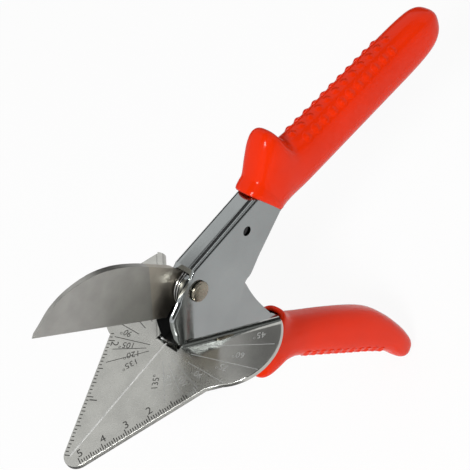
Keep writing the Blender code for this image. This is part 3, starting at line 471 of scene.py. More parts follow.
def surface(
    name, tone, dark_share, roughness, spread, grain_mm, cloud_mm, bump,
    stretch=(1.0, 1.0, 1.0), patchy=(0.32, 0.68), detail=4.0, metallic=1.0,
):
    """A surface with a cloudy tone, an uneven gloss and a fine grain.

    The clouds are as dark as dark_share of the tone, and the roughness varies by spread. bump is the grain's
    height in metres, stretch its scale along each axis, and patchy the clouds' range that turns the tone.
    """
    material, tree, shader = new_material(name)
    place = node(tree, "ShaderNodeTexCoord").outputs["Object"]
    along = node(tree, "ShaderNodeMapping", {"Vector": place, "Scale": stretch}).outputs[0]
    noises = []
    for vector, size in ((along, grain_mm), (place, cloud_mm)):
        inputs = {"Vector": vector, "Scale": 1000.0 / size, "Detail": detail}
        noises.append(node(tree, "ShaderNodeTexNoise", inputs).outputs["Fac"])
    grain, cloud = noises
    inputs = {"Value": cloud, "From Min": patchy[0], "From Max": patchy[1]}
    patches = node(tree, "ShaderNodeMapRange", inputs).outputs[0]
    dark = (*[value * dark_share for value in tone], 1.0)
    mixed = node(tree, "ShaderNodeMix", {0: patches, 6: dark, 7: (*tone, 1.0)}, data_type="RGBA")
    tree.links.new(mixed.outputs[2], shader.inputs["Base Color"])
    inputs = {"Value": grain, "From Min": 0.3, "From Max": 0.7}
    inputs.update({"To Min": roughness - spread, "To Max": roughness + spread})
    gloss = node(tree, "ShaderNodeMapRange", inputs)
    tree.links.new(gloss.outputs[0], shader.inputs["Roughness"])
    relief = node(tree, "ShaderNodeBump", {"Height": grain, "Strength": 1.0, "Distance": bump})
    tree.links.new(relief.outputs[0], shader.inputs["Normal"])
    shader.inputs["Metallic"].default_value = metallic
    return material


def plated_steel(settings):
    # Bright nickel on rolled and folded steel sheet: an even, faintly wavy grey mirror
    tone = settings.plating_colour
    return surface("bright_plated_steel_sheet", tone, 0.88, 0.14, 0.03, 1.2, 18.0, 0.0000012)


def channel_inside_shade(settings):
    # Inside of the folded channel: dull, and dark as painted shade, so that openings read deep
    return surface("painted_shade_channel_inside", settings.inside_shade_colour, 0.8, 0.5, 0.08, 0.8, 6.0, 0.000002)


def plate_steel(settings):
    # Steel plate, satin ground on the nose and polished on the ears: a soft sheen that turns into a mirror
    tone = settings.steel_colour
    material = surface("satin_ground_plate_steel", tone, 0.86, 0.3, 0.05, 0.6, 7.0, 0.0000025)
    tree = material.node_tree
    shader = tree.nodes["Principled BSDF"]
    satin = shader.inputs["Roughness"].links[0].from_socket
    place = node(tree, "ShaderNodeTexCoord").outputs["Object"]
    along = node(tree, "ShaderNodeSeparateXYZ", {"Vector": place}).outputs["X"]
    inputs = {"Value": along, "From Min": 0.018, "From Max": 0.034, "To Min": 1.0, "To Max": 0.3}
    polish = node(tree, "ShaderNodeMapRange", inputs, interpolation_type="SMOOTHSTEP")
    rough = node(tree, "ShaderNodeMath", {0: satin, 1: polish.outputs[0]}, operation="MULTIPLY")
    tree.links.new(rough.outputs[0], shader.inputs["Roughness"])
    return material


def stamped_mark(name, tone, roughness):
    """The inside of a stamped mark: a dull recess, or one with a light tone that is a painted reflection."""
    material, tree, shader = new_material(name)
    place = node(tree, "ShaderNodeTexCoord").outputs["Object"]
    cloud = node(tree, "ShaderNodeTexNoise", {"Vector": place, "Scale": 1000.0 / 2.0, "Detail": 3.0})
    worn = (*[value * 0.6 for value in tone], 1.0)
    mixed = node(tree, "ShaderNodeMix", {0: cloud.outputs["Fac"], 6: worn, 7: (*tone, 1.0)}, data_type="RGBA")
    tree.links.new(mixed.outputs[2], shader.inputs["Base Color"])
    shader.inputs["Metallic"].default_value = 0.4
    shader.inputs["Roughness"].default_value = roughness
    return material


def blade_steel(settings):
    # Hardened tool steel, surface ground along the blade: soft mottling with faint hairlines. The real
    # hairlines are about 0.05 mm wide, and they are drawn 0.3 mm wide so that they show
    return surface(
        "surface_ground_tool_steel", settings.steel_colour, 0.86, 0.31, 0.03, 0.3, 7.0, 0.0000005,
        stretch=(0.3, 1.0, 0.3),
    )


def shoulder_tint_and_sheen(settings):
    # The blade's shoulder next to the pivot, left brown from hardening and only brushed: warm and dark in
    # tint, with its tone lifted as a painted reflection
    tone = settings.shoulder_tint_and_sheen_colour
    return surface("hardened_shoulder_tint_and_painted_sheen", tone, 0.86, 0.36, 0.06, 0.5, 5.0, 0.000002)


def rivet_steel(settings):
    # Nickelled rivet, headed by pressing: warm grey, slightly dull
    return surface("nickelled_pressed_rivet", settings.rivet_colour, 0.82, 0.28, 0.06, 0.8, 3.0, 0.000002)


def spring_wire(settings):
    # Drawn spring wire: small bright streaks along the wire
    return surface("drawn_spring_wire", settings.wire_colour, 0.8, 0.2, 0.05, 0.6, 4.0, 0.000001)


def moulded_vinyl(settings):
    # Soft vinyl, moulded in a polished tool: saturated, glossy, with a very fine uneven skin
    material = surface(
        "glossy_moulded_vinyl", settings.vinyl_colour, 0.82, 0.19, 0.03, 1.6, 22.0, 0.0000005,
        patchy=(0.0, 1.0), detail=3.0, metallic=0.0,
    )
    shader = material.node_tree.nodes["Principled BSDF"]
    shader.inputs["IOR"].default_value = 1.45
    shader.inputs["Specular IOR Level"].default_value = 0.16
    return material


# Settings


class PlateSettings(bpy.types.PropertyGroup):
    """Mitre plate"""

    mark_depth: bpy.props.FloatProperty(
        name="Mark depth", description="Depth of the stamped lines and numbers",
        default=0.00014, unit="LENGTH",
    )
    line_width: bpy.props.FloatProperty(
        name="Line width", description="Width of an angle line", default=0.00030, unit="LENGTH"
    )
    tick_width: bpy.props.FloatProperty(
        name="Tick width", description="Width of a ruler tick", default=0.00040, unit="LENGTH"
    )
    number_height: bpy.props.FloatProperty(
        name="Number height", description="Height of the stamped numbers", default=0.0027, unit="LENGTH"
    )
    digit_height: bpy.props.FloatProperty(
        name="Digit height", description="Height of the rulers' digits", default=0.0034, unit="LENGTH"
    )
    edge_radius: bpy.props.FloatProperty(
        name="Edge radius", description="Rounding of the plate's edges", default=0.00042, unit="LENGTH"
    )
    fold_radius: bpy.props.FloatProperty(
        name="Rim radius", description="Radius of the turned-down rims", default=0.0042, unit="LENGTH"
    )
    steel_colour: bpy.props.FloatVectorProperty(
        name="Steel", description="Tone of the plate", subtype="COLOR", default=colour("#BBBBB6")
    )
    mark_colour: bpy.props.FloatVectorProperty(
        name="Marks", description="Tone of the dark marks", subtype="COLOR", default=colour("#4A4946")
    )
    # On the near ear the marks' light tone is a painted reflection
    mark_reflection_colour: bpy.props.FloatVectorProperty(
        name="Rubbed marks", description="Tone of the marks on the near ear", subtype="COLOR",
        default=colour("#C6C7C5"),
    )
    groove_colour: bpy.props.FloatVectorProperty(
        name="Groove", description="Tone of the cut groove", subtype="COLOR", default=colour("#F0F0EE")
    )


class LeverSettings(bpy.types.PropertyGroup):
    """Folded levers"""

    upper_sheet: bpy.props.FloatProperty(
        name="Upper sheet", description="Sheet of the upper lever", default=0.0015, unit="LENGTH"
    )
    lower_sheet: bpy.props.FloatProperty(
        name="Lower sheet", description="Sheet of the lower lever", default=0.0012, unit="LENGTH"
    )
    fold_start: bpy.props.FloatProperty(
        name="Fold at the pivot", description="Outside radius of the long folds at the pivot", default=0.0023,
        unit="LENGTH",
    )
    fold_end: bpy.props.FloatProperty(
        name="Fold at the grip", description="Outside radius of the long folds at the grip", default=0.0032,
        unit="LENGTH",
    )
    curl_radius: bpy.props.FloatProperty(
        name="Front edge", description="Rounding of the cheeks' front edges", default=0.0024, unit="LENGTH"
    )
    plating_colour: bpy.props.FloatVectorProperty(
        name="Plating", description="Tone of the plating", subtype="COLOR", default=colour("#9CA0A0")
    )
    # The channels' inside tone is painted shade, darker than the plating
    inside_shade_colour: bpy.props.FloatVectorProperty(
        name="Inside", description="Tone of the channels' inside", subtype="COLOR",
        default=colour("#3A3B3C"),
    )


class BladeSettings(bpy.types.PropertyGroup):
    """Blade"""

    thickness: bpy.props.FloatProperty(
        name="Thickness", description="Thickness of the blade", default=0.0028, unit="LENGTH"
    )
    point_thickness: bpy.props.FloatProperty(
        name="Point", description="Thickness of the blade at its point", default=0.0008, unit="LENGTH"
    )
    bevel_height: bpy.props.FloatProperty(
        name="Bevel height", description="Height of the ground edge bevel", default=0.0055, unit="LENGTH"
    )
    steel_colour: bpy.props.FloatVectorProperty(
        name="Steel", description="Tone of the blade", subtype="COLOR", default=colour("#A3A29E")
    )
    # The shoulder's tone: real brown of hardening, lifted as a painted reflection
    shoulder_tint_and_sheen_colour: bpy.props.FloatVectorProperty(
        name="Shoulder", description="Tone next to the pivot", subtype="COLOR", default=colour("#B4AEA2")
    )


class FixingSettings(bpy.types.PropertyGroup):
    """Rivets and spring"""

    head_radius: bpy.props.FloatProperty(
        name="Rivet head", description="Radius of the pivot rivet's heads", default=0.0042, unit="LENGTH"
    )
    wire_radius: bpy.props.FloatProperty(
        name="Wire", description="Radius of the spring wire", default=0.0004, unit="LENGTH"
    )
    rivet_colour: bpy.props.FloatVectorProperty(
        name="Rivet", description="Tone of the rivets", subtype="COLOR", default=colour("#958E80")
    )
    wire_colour: bpy.props.FloatVectorProperty(
        name="Wire tone", description="Tone of the spring wire", subtype="COLOR", default=colour("#B4B4B2")
    )


class GripSettings(bpy.types.PropertyGroup):
    """Grips"""

    wall: bpy.props.FloatProperty(
        name="Mouth wall", description="Wall of the grip at its mouth", default=0.0015, unit="LENGTH"
    )
    dome_radius: bpy.props.FloatProperty(
        name="Dome radius", description="Radius of a raised dome", default=0.0024, unit="LENGTH"
    )
    dome_height: bpy.props.FloatProperty(
        name="Dome height", description="Height of a raised dome", default=0.0007, unit="LENGTH"
    )
    dome_pitch: bpy.props.FloatProperty(
        name="Dome pitch", description="Spacing of the domes in a row", default=0.0053, unit="LENGTH"
    )
    vinyl_colour: bpy.props.FloatVectorProperty(
        name="Vinyl", description="Colour of the grips", subtype="COLOR", default=colour("#EE2E00")
    )


class StageSettings(bpy.types.PropertyGroup):
    """Floor, light and camera"""

    floor_colour: bpy.props.FloatVectorProperty(
        name="Floor", description="Colour of the floor", subtype="COLOR", default=colour("#FAFAFA")
    )
    sky_level: bpy.props.FloatProperty(
        name="Sky level", description="Level of the even light from all round", default=0.52, min=0.0
    )
    lamp_power: bpy.props.FloatProperty(
        name="Lamp power", description="Power of the soft lamp", default=9.0, unit="POWER"
    )


# Mitre plate

# Each ear: its side, the middle of its arc behind the fan and out from the middle line, the arc's radius
# and span, how far its corner reaches, and how far its rim lies outside the 45 degree line
EARS = (
    (1.0, 15.5, 17.7, 23.0, (155.0, 66.0), 32.5, 1.8),
    (-1.0, 16.5, 19.4, 21.0, (-147.0, -40.0), 30.4, 2.8),
)

# Each number of the fan: its angle, start and end of its line and the number's place, all from the point
# where the lines meet, and the direction to the number. The plate's rims stand for the lines at 45 degrees
NEAR_ANGLES = (
    (135, 6.5, 25.3, 15.4, 33.0), (120, 8.4, 23.7, 15.2, 51.2), (105, 7.4, 26.1, 18.6, 67.8),
    (90, 14.0, 33.0, 20.9, 84.5), (75, 13.0, 42.5, 28.1, 100.6), (60, 14.0, 45.7, 32.4, 112.4),
    (45, 0.0, 0.0, 39.1, 126.1),
)
FAR_ANGLES = (
    (135, 5.4, 23.2, 14.0, 29.0), (120, 6.6, 21.1, 12.6, 47.5), (105, 5.6, 22.3, 15.4, 66.3),
    (90, 13.0, 32.0, 18.5, 84.0), (75, 13.0, 36.0, 28.1, 100.6), (60, 14.0, 36.0, 32.4, 112.4),
    (45, 0.0, 0.0, 39.1, 126.1),
)

# Each ruler: its side, first mark from the apex, distance and number of marks, their lengths, each for the
# counts that a number divides, then its digits, their distance, their shift and how far in they stand
RULERS = (
    (-1.0, 12.3, 1.0, 51, {10: 2.8, 5: 2.2, 1: 1.6}, {0: "5", 1: "4", 2: "3", 3: "2"}, 10.0, 1.4, 4.9),
    (1.0, 11.6, 25.4 / 16, 35, {16: 2.8, 8: 2.2, 4: 1.7, 1: 1.2}, {1: "1", 2: "2"}, 25.4, -1.3, 3.6),
)
MARK_FROM_EDGE = 0.6
CAPITAL_SHARE = 0.72
POLISHED_FROM_X = 10.5
# Mark slots: dull marks, marks with a light tone painted as reflection, and the cut groove
DULL, PAINTED_REFLECTION, GROOVE = 1, 2, 3


def plate_outline(steps):
    """Outline of the plate in X and Y with its two ears, and the corners of the rims and the tab."""
    nose_side = math.pi / 2 + NOSE_SLOPE
    points = arc((FAN_X - 51.7, PLATE_MIDDLE), NOSE_RADIUS, math.pi * 2 - nose_side, nose_side, steps)
    start_out = 60.1 * math.tan(NOSE_SLOPE)
    corners = []
    for side, back, out, radius, span, reach, outside in EARS:
        rim_x = FAN_X + outside * math.sqrt(2.0)
        corner = (rim_x + reach, CUT_LINE_Y + side * reach)
        inner = (rim_x + abs(side * TAB_HALF - CUT_LINE_Y), side * TAB_HALF)
        tab = (TAB_X, side * TAB_HALF)
        start, end = [math.radians(angle) for angle in span]
        ear = [(FAN_X - 5.6, PLATE_MIDDLE + side * start_out)]
        ear += arc((FAN_X + back, PLATE_MIDDLE + side * out), radius, start, end, steps * 2) + [corner]
        corners.append((corner, inner, tab))
        points += ear + [inner, tab] if side > 0.0 else [tab, inner] + ear[::-1]
    return points, corners


def fold_shapes(edge_start, stop, depth, fold, inward, run_in, lead, run_out):
    """A turned-down strip along an edge of the plate, and the cutter that rounds its fold.

    fold is the depth of the rounding and how far from the edge it starts.
    """
    deep, reach = fold
    start = Vector(edge_start) - (Vector(stop) - Vector(edge_start)).normalized() * run_in
    run = Vector(stop) - start
    strip = box_shape((0.0, 0.0, PLATE_TOP - depth), (run.length, PLATE_TOP, PLATE_TOP))
    outline = [(-OVER, 0.0), (-OVER, OVER), (reach, OVER), (reach, 0.0)]
    quarter = arc((0.0, -1.0), 1.0, math.pi / 2, math.pi, 16)
    outline += [(reach + reach * x, deep * z) for x, z in quarter[1:]] + [(-OVER, -deep)]
    corner = slab(outline, lead, run.length + run_out)
    corner.transform(Matrix.Translation((0.0, 0.0, PLATE_TOP)) @ ALONG_X)
    turn = Matrix.Rotation(math.atan2(run.y, run.x), 4, "Z") @ Matrix.Diagonal((1.0, inward, 1.0, 1.0))
    for shape in (strip, corner):
        shape.transform(Matrix.Translation((start[0], start[1], 0.0)) @ turn)
        if inward < 0.0:
            bmesh.ops.reverse_faces(shape, faces=shape.faces)
    return strip, corner


def stroke(start, end, width):
    """Corners of a straight mark of the given width, as X and Y pairs."""
    start, end = Vector(start), Vector(end)
    side = (end - start).normalized().orthogonal() * width / 2
    return [tuple(start - side), tuple(end - side), tuple(end + side), tuple(start + side)]


def mark_place(out_radius, turn, side):
    """A place on the plate from the point where the lines meet, and the direction out to it."""
    out = Vector((-math.cos(turn), side * math.sin(turn)))
    return Vector((FAN_X, CUT_LINE_Y)) + out * out_radius, out


def angle_marks(settings):
    """The lines of the fan, and each angle's number as text, place, reading direction and height."""
    strokes = []
    numbers = []
    for side, rows in ((-1.0, NEAR_ANGLES), (1.0, FAR_ANGLES)):
        for angle, start, end, middle, turn in rows:
            spot, out = mark_place(middle, math.radians(turn), side)
            numbers.append((f"{angle}°", spot, out * side, mm(settings.number_height)))
            if end:
                ends = [mark_place(radius, math.radians(180 - angle), side)[0] for radius in (start, end)]
                strokes.append(stroke(*ends, mm(settings.line_width)))
    return strokes, numbers


def ruler_marks(settings):
    """Ticks along both edges of the nose, one ruler in millimetres and one in inches, with numbers."""
    strokes = []
    numbers = []
    for side, first, unit, count, lengths, digits, gap, shift, deep in RULERS:
        along = Vector((math.cos(NOSE_SLOPE), side * math.sin(NOSE_SLOPE)))
        inward = Vector((math.sin(NOSE_SLOPE), -side * math.cos(NOSE_SLOPE)))
        for index in range(count):
            edge = NOSE_APEX + along * (first + unit * index)
            length = next(length for step, length in lengths.items() if index % step == 0)
            ends = [edge + inward * reach for reach in (MARK_FROM_EDGE, MARK_FROM_EDGE + length)]
            strokes.append(stroke(*ends, mm(settings.tick_width)))
        for step, text in digits.items():
            spot = NOSE_APEX + along * (first + gap * step + shift) + inward * deep
            numbers.append((text, spot, along * -side, mm(settings.digit_height)))
    return strokes, numbers


def is_bright(spot):
    """Whether a mark lies on the polished near ear, where its light tone is a painted reflection."""
    return spot[0] > POLISHED_FROM_X and spot[1] < 0.0


def number_shape(text, spot, reading, tall, low, high):
    """A raised number, centred on a spot and read along a direction, between two heights."""
    data = bpy.data.curves.new("number", "FONT")
    data.body = text
    data.size = tall / CAPITAL_SHARE
    data.align_x = "CENTER"
    data.align_y = "CENTER"
    data.extrude = (high - low) / 2
    data.resolution_u = 3
    shape = curve_shape(data)
    bmesh.ops.recalc_face_normals(shape, faces=shape.faces)
    turn = Matrix.Rotation(math.atan2(reading.y, reading.x), 4, "Z")
    shape.transform(Matrix.Translation((spot.x, spot.y, (low + high) / 2)) @ turn)
    return shape


class MITRESHEARS_OT_plate(bpy.types.Operator):
    """Make the mitre plate with its rims, tab, groove, angle lines and rulers"""

    bl_idname = "mitre_shears.plate"
    bl_label = "Mitre plate"

    def execute(self, context):
        settings = context.scene.mitre_plate_settings
        outline, corners = plate_outline(20)
        shape = slab(outline, 0.0, PLATE_TOP)
        round_rims(shape, 2, (0.0, PLATE_TOP), mm(settings.edge_radius), 4)
        materials = (
            plate_steel(settings),
            stamped_mark("oxidised_stamped_mark", settings.mark_colour, 0.55),
            # Marks on the near ear: a light tone that is a painted reflection
            stamped_mark("painted_reflection_stamped_mark", settings.mark_reflection_colour, 0.4),
            stamped_mark("bright_cut_groove", settings.groove_colour, 0.4),
        )
        item = make_object("mitre_plate_finished", shape, materials)
        (far_corner, far_inner, far_tab), (near_corner, near_inner, near_tab) = corners
        radius = mm(settings.fold_radius)
        folds = (
            fold_shapes(far_inner, far_corner, RIM_DEPTH, (radius, radius), 1.0, OVER, 0.3, OVER),
            fold_shapes(near_inner, near_corner, RIM_DEPTH, (radius, 6.5), -1.0, OVER, 0.3, OVER),
            fold_shapes(near_tab, far_tab, TAB_DEPTH, (2.4, 2.4), 1.0, 0.0, -0.3, 0.3),
        )
        for strip, _ in folds:
            combine(item, make_object("strip", strip, ()), "UNION")
        for _, corner in folds:
            cut(item, corner)
        above = PLATE_TOP + OVER
        cut(item, box_shape((TAB_X, -TAB_HALF, -TAB_DEPTH), (near_inner[0] + OVER, TAB_HALF, above)))
        groove = box_shape((FAN_X - 54.3, 0.45, PLATE_TOP - 0.35), (TAB_X + OVER, 1.15, above))
        cut(item, groove, slot=GROOVE)
        for drop in (6.8, 11.8):
            cut(item, peg(1.5, OVER, (1, 0, 0), (TAB_X, 0.0, PLATE_TOP - drop)))
        # Crossing marks end at slightly different depths, so that no two of their floors share a plane
        lines, angles = angle_marks(settings)
        ticks, digits = ruler_marks(settings)
        low, high = PLATE_TOP - mm(settings.mark_depth), PLATE_TOP + 0.5
        for depth, strokes in ((low, lines), (low - 0.01, ticks)):
            # Lines and ticks on the near ear take the light tone painted as reflection
            for slot in (DULL, PAINTED_REFLECTION):
                chosen = [row for row in strokes if is_bright(row[0]) == (slot == PAINTED_REFLECTION)]
                if chosen:
                    cut(item, join_shapes([slab(row, depth, high) for row in chosen]), slot=slot)
        for number in angles + digits:
            # Numbers on the near ear take the light tone painted as reflection
            slot = PAINTED_REFLECTION if is_bright(number[1]) else DULL
            cut(item, number_shape(*number, low - 0.02, high), slot=slot)
        finish(item, FIXED_BODY, ("mitre_plate",), 26.0)
        return {"FINISHED"}


# Upper lever

# Holes in the cheeks: radius, and place in X and Z from the pivot
UPPER_BORES = (
    (2.0, 30.1, 1.2),
    (PIVOT_BORE, 0.0, 0.0),
    (1.8, TAB_X - PIVOT.x + 5.5, -PIVOT_ABOVE_PLATE - 10.4),
    (1.8, TAB_X - PIVOT.x + 5.5, -PIVOT_ABOVE_PLATE - 16.4),
)


def upper_outline(inset, steps):
    """Outline of the upper lever from the side, its first three points along the top of the web."""
    top = UPPER_TOP - inset
    tail_top = UPPER_AXIS + TAIL_HALF - inset
    tail_bottom = UPPER_AXIS - TAIL_HALF
    tail_end = UPPER_GUARD + 76.0
    over = OVER if inset else 0.0
    cheek_front = PIVOT.x - TAB_X - 0.3
    web_start = -cheek_front - over if inset else 2.6
    points = [
        (web_start, top),
        (along_grip(UPPER_GUARD, 0.0)[0] * 0.78, top),
        along_grip(tail_end + over, tail_top),
        along_grip(tail_end + over, tail_bottom - over),
        along_grip(UPPER_GUARD * 1.3, tail_bottom - over),
    ]
    depth = PIVOT_ABOVE_PLATE + CHEEK_BELOW_PLATE
    bottom = [(CHEEK_BOTTOM_REACH * x, depth * z - over) for x, z in reversed(CHEEK_BOTTOM_SHARES)]
    points += bottom[:1] + smooth_line(bottom[1:], steps)
    if inset:
        return points + [(web_start, -depth - over)], []
    front = [(-cheek_front * x, PIVOT_ABOVE_PLATE * z) for x, z in reversed(CHEEK_FRONT_SHARES)]
    front = smooth_line(front, steps)
    return points + front, front


class MITRESHEARS_OT_upper_lever(bpy.types.Operator):
    """Make the upper lever, a folded channel whose cheeks carry the pivot"""

    bl_idname = "mitre_shears.upper_lever"
    bl_label = "Upper lever"

    def execute(self, context):
        settings = context.scene.mitre_lever_settings
        sheet = mm(settings.upper_sheet)
        outline, front = upper_outline(0.0, 6)
        down = (0.0, -1.0)
        radii = (mm(settings.fold_start), mm(settings.fold_end), mm(settings.fold_end))
        folds = {index: (down, radius) for index, radius in enumerate(radii)}
        # The front edges curl in, less and less towards both ends, and stay sharp beside the web
        curl_end = len(front) - 9
        for index in range(2, curl_end):
            along = Vector(front[index + 1]) - Vector(front[index - 1])
            share = min((index - 1) / 6.0, (curl_end - index) / 6.0, 1.0)
            inward = Vector((along.y, -along.x)).normalized()
            folds[len(outline) - len(front) + index] = (inward, mm(settings.curl_radius) * share)
        shape = folded_block(outline, UPPER_HALF, folds, 12)
        materials = (plated_steel(settings), channel_inside_shade(settings))
        item = make_object("upper_lever_finished", shape, materials, FIXED_PLACE)
        inside, _ = upper_outline(sheet, 4)
        hollow = folded_block(inside, UPPER_HALF - sheet, {index: (down, 0.9) for index in range(3)}, 6)
        # The hollow's faces take slot 1, the inside tone that is painted shade
        cut(item, hollow, FIXED_PLACE, 1)
        cut_bores(item, FIXED_PLACE, UPPER_BORES)
        finish(item, FIXED_BODY, ("upper_lever",))
        return {"FINISHED"}


# Lower lever

# Holes for the bush and the three tang rivets: radius, and place in X and Z from the pivot
TANG_RIVETS = ((13.2, -0.6), (20.0, -3.6), (27.0, -6.6))
MOVING_BORES = [(BUSH_BORE, 0.0, 0.0)] + [(1.9, *along_grip(*spot)) for spot in TANG_RIVETS]


def lower_outline(inset, steps):
    """Outline of the closed lower lever: its outer edge, tail, inner edge and round head."""
    over = OVER if inset else 0.0
    outer_tail = LOWER_AXIS - TAIL_HALF + inset
    inner_tail = LOWER_AXIS + TAIL_HALF + over
    tail_end = LOWER_GUARD + 64.0 + over
    points = [
        along_grip(1.95, -HEAD_RADIUS + inset),
        along_grip(22.0, -13.5 + inset),
        along_grip(KNEE_REACH, outer_tail),
        along_grip(tail_end, outer_tail),
        along_grip(tail_end, inner_tail),
        along_grip(KNEE_REACH * 1.6, inner_tail),
    ]
    inner = [along_grip(KNEE_REACH * x, -LOWER_AXIS * z + over) for x, z in LOWER_INNER_SHARES]
    points += smooth_line(inner, steps)
    if inset:
        beyond = HEAD_RADIUS + over
        return points + [(-beyond, beyond), (-beyond, -beyond), along_grip(1.95, -beyond)]
    return points + arc((0.0, 0.0), HEAD_RADIUS, math.radians(78.0), math.radians(262.0), 32)


class MITRESHEARS_OT_lower_lever(bpy.types.Operator):
    """Make the lower lever, a folded channel that swings inside the upper one"""

    bl_idname = "mitre_shears.lower_lever"
    bl_label = "Lower lever"

    def execute(self, context):
        settings = context.scene.mitre_lever_settings
        sheet = mm(settings.lower_sheet)
        inner = LOWER_HALF - sheet
        shape = side_slab(lower_outline(0.0, 4), -LOWER_HALF, LOWER_HALF)
        round_rims(shape, 1, (-LOWER_HALF, LOWER_HALF), 0.35, 3)
        materials = (plated_steel(settings), channel_inside_shade(settings))
        item = make_object("lower_lever_finished", shape, materials, MOVING_PLACE)
        # The hollow's faces take slot 1, the inside tone that is painted shade
        cut(item, side_slab(lower_outline(sheet, 4), -inner, inner), MOVING_PLACE, 1)
        # Only the near cheek is left around the pivot, so that the blade has room beside it
        cut(item, box_shape((-11.8, -inner, -36.0), (36.0, LOWER_HALF + OVER, 36.0)), MOVING_PLACE)
        cut_bores(item, MOVING_PLACE, MOVING_BORES)
        finish(item, MOVING_BODY, ("lower_lever",))
        return {"FINISHED"}


# Blade

# Where the brushed shoulder starts, the direction into it, and where the far side starts to taper
SHOULDER_START = Vector((-23.1, 0.0, 8.4))
INTO_SHOULDER = Vector((0.927, 0.0, 0.374))
TAPER_START = -40.0


def tilted(x, z):
    """A place on the blade, turned about the pivot so that its edge meets the plate flat."""
    spot = Matrix.Rotation(BLADE_TILT, 2) @ Vector((x, z))
    return spot.x, spot.y


def blade_outline(steps):
    """Outline of the closed blade: its spine, round neck, tang, heel and straight cutting edge."""
    spine = [tilted(-BLADE_REACH * x, BLADE_HEIGHT * z - EDGE_DROP) for x, z in SPINE_SHARES]
    points = smooth_line(spine, steps)
    points += arc((0.0, 0.0), HEAD_RADIUS, math.radians(132.0), math.radians(62.0), 20)
    points += arc(along_grip(27.3, -7.0), 4.2, math.radians(75.0), math.radians(-105.0), 20)
    return points + [along_grip(2.34, -HEAD_RADIUS), tilted(-5.475, -8.19), tilted(-7.3, -EDGE_DROP)]


class MITRESHEARS_OT_blade(bpy.types.Operator):
    """Make the curved blade with its ground bevel and its tang"""

    bl_idname = "mitre_shears.blade"
    bl_label = "Blade"

    def execute(self, context):
        settings = context.scene.mitre_blade_settings
        near = CUT_LINE_Y
        far = near + mm(settings.thickness)
        shape = side_slab(blade_outline(4), near, far)
        round_rims(shape, 1, (near, far), 0.14, 2)
        everything = shape.verts[:] + shape.edges[:] + shape.faces[:]
        bmesh.ops.bisect_plane(shape, geom=everything, plane_co=SHOULDER_START, plane_no=INTO_SHOULDER)
        # Faces beyond the plane take the shoulder tone: brown of hardening, lifted as a painted reflection
        for face in shape.faces:
            beyond = (face.calc_center_median() - SHOULDER_START).dot(INTO_SHOULDER)
            face.material_index = 1 if beyond > 0.0 else 0
        materials = (blade_steel(settings), shoulder_tint_and_sheen(settings))
        item = make_object("blade_finished", shape, materials, MOVING_PLACE)
        # The ground bevel along the edge, then the taper of the far side towards the point
        foot, rise = -EDGE_DROP - OVER, -EDGE_DROP + mm(settings.bevel_height)
        wedge = [(near + 0.3, foot), (near + 0.3, -EDGE_DROP), (far + 0.3, rise), (far + OVER, rise)]
        cutter = slab(wedge + [(far + OVER, foot)], -87.0, -3.3)
        cutter.transform(Matrix.Rotation(-BLADE_TILT, 4, "Y") @ ALONG_X)
        cut(item, cutter, MOVING_PLACE)
        point, tip = near + mm(settings.point_thickness), -BLADE_REACH - OVER
        taper = [(TAPER_START, far + 0.05), (tip, point), (tip, far + OVER), (TAPER_START, far + OVER)]
        cut(item, slab(taper, -24.0, 24.0), MOVING_PLACE)
        cut_bores(item, MOVING_PLACE, MOVING_BORES)
        finish(item, MOVING_BODY, ("blade",))
        return {"FINISHED"}


# Rivets, spring and inner pieces

# The pivot rivet's head from its top: share of its radius, and height. Then the rivets and tubes that keep
# the shape of their CAD solids
RIVET_HEAD = (
    (0.0, 7.12), (0.35, 7.11), (0.62, 7.06), (0.80, 6.96), (0.90, 6.82), (0.965, 6.62), (1.0, 6.38),
    (1.0, 5.85),
)
SMALL_RIVETS = (
    "carrier_rivet_1", "carrier_rivet_2", "plate_rivet_1", "plate_rivet_2", "tang_rivet_1", "tang_rivet_2",
    "tang_rivet_3", "tang_spacer_1", "tang_spacer_2", "tang_spacer_3",
)


class MITRESHEARS_OT_fixings(bpy.types.Operator):
    """Make the pivot rivet and finish the smaller rivets, the bush and the carrier"""

    bl_idname = "mitre_shears.fixings"
    bl_label = "Rivets and carrier"

    def execute(self, context):
        settings = context.scene.mitre_fixing_settings
        rivet = rivet_steel(settings)
        radius = mm(settings.head_radius)
        half = [(radius * share, height) for share, height in RIVET_HEAD]
        half += [(radius - 0.12, 5.72), (3.0, 5.70)]
        profile = half + [(reach, -height) for reach, height in reversed(half)]
        item = make_object("pivot_rivet_finished", lathe(profile, 96, (0, 1, 0)), (rivet,), FIXED_PLACE)
        finish(item, FIXED_BODY, ("pivot_rivet",), 40.0)
        steel = plate_steel(context.scene.mitre_plate_settings)
        for names, material in ((SMALL_RIVETS, rivet), (("pivot_bush", "plate_carrier"), steel)):
            for name in names:
                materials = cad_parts[name].data.materials
                materials.clear()
                materials.append(material)
        return {"FINISHED"}


def spring_line(points_a_turn):
    """The wire's middle line in the pivot's frame, and the two ends of its coil in Y."""
    start = math.pi / 2
    end = math.pi * 3.5 - GRIP_SLOPE - OPEN_ANGLE
    turns = (end - start) / math.tau
    near = COIL_MIDDLE - COIL_PITCH * turns / 2
    steps = round(points_a_turn * turns)
    points = [(x, near, COIL_RADIUS) for x in (24.0, 12.0, 2.0)]
    for index, (x, z) in enumerate(arc((0.0, 0.0), COIL_RADIUS, start, end, steps)):
        points.append((x, near + COIL_PITCH * turns * (index / steps), z))
    for share in (0.1, 0.5, 1.0):
        x, z = along_grip(23.0 * share, -COIL_RADIUS - 4.2 * share)
        points.append(tuple(OPEN_TURN @ Vector((x, near + COIL_PITCH * turns, z))))
    return points, near, near + COIL_PITCH * turns


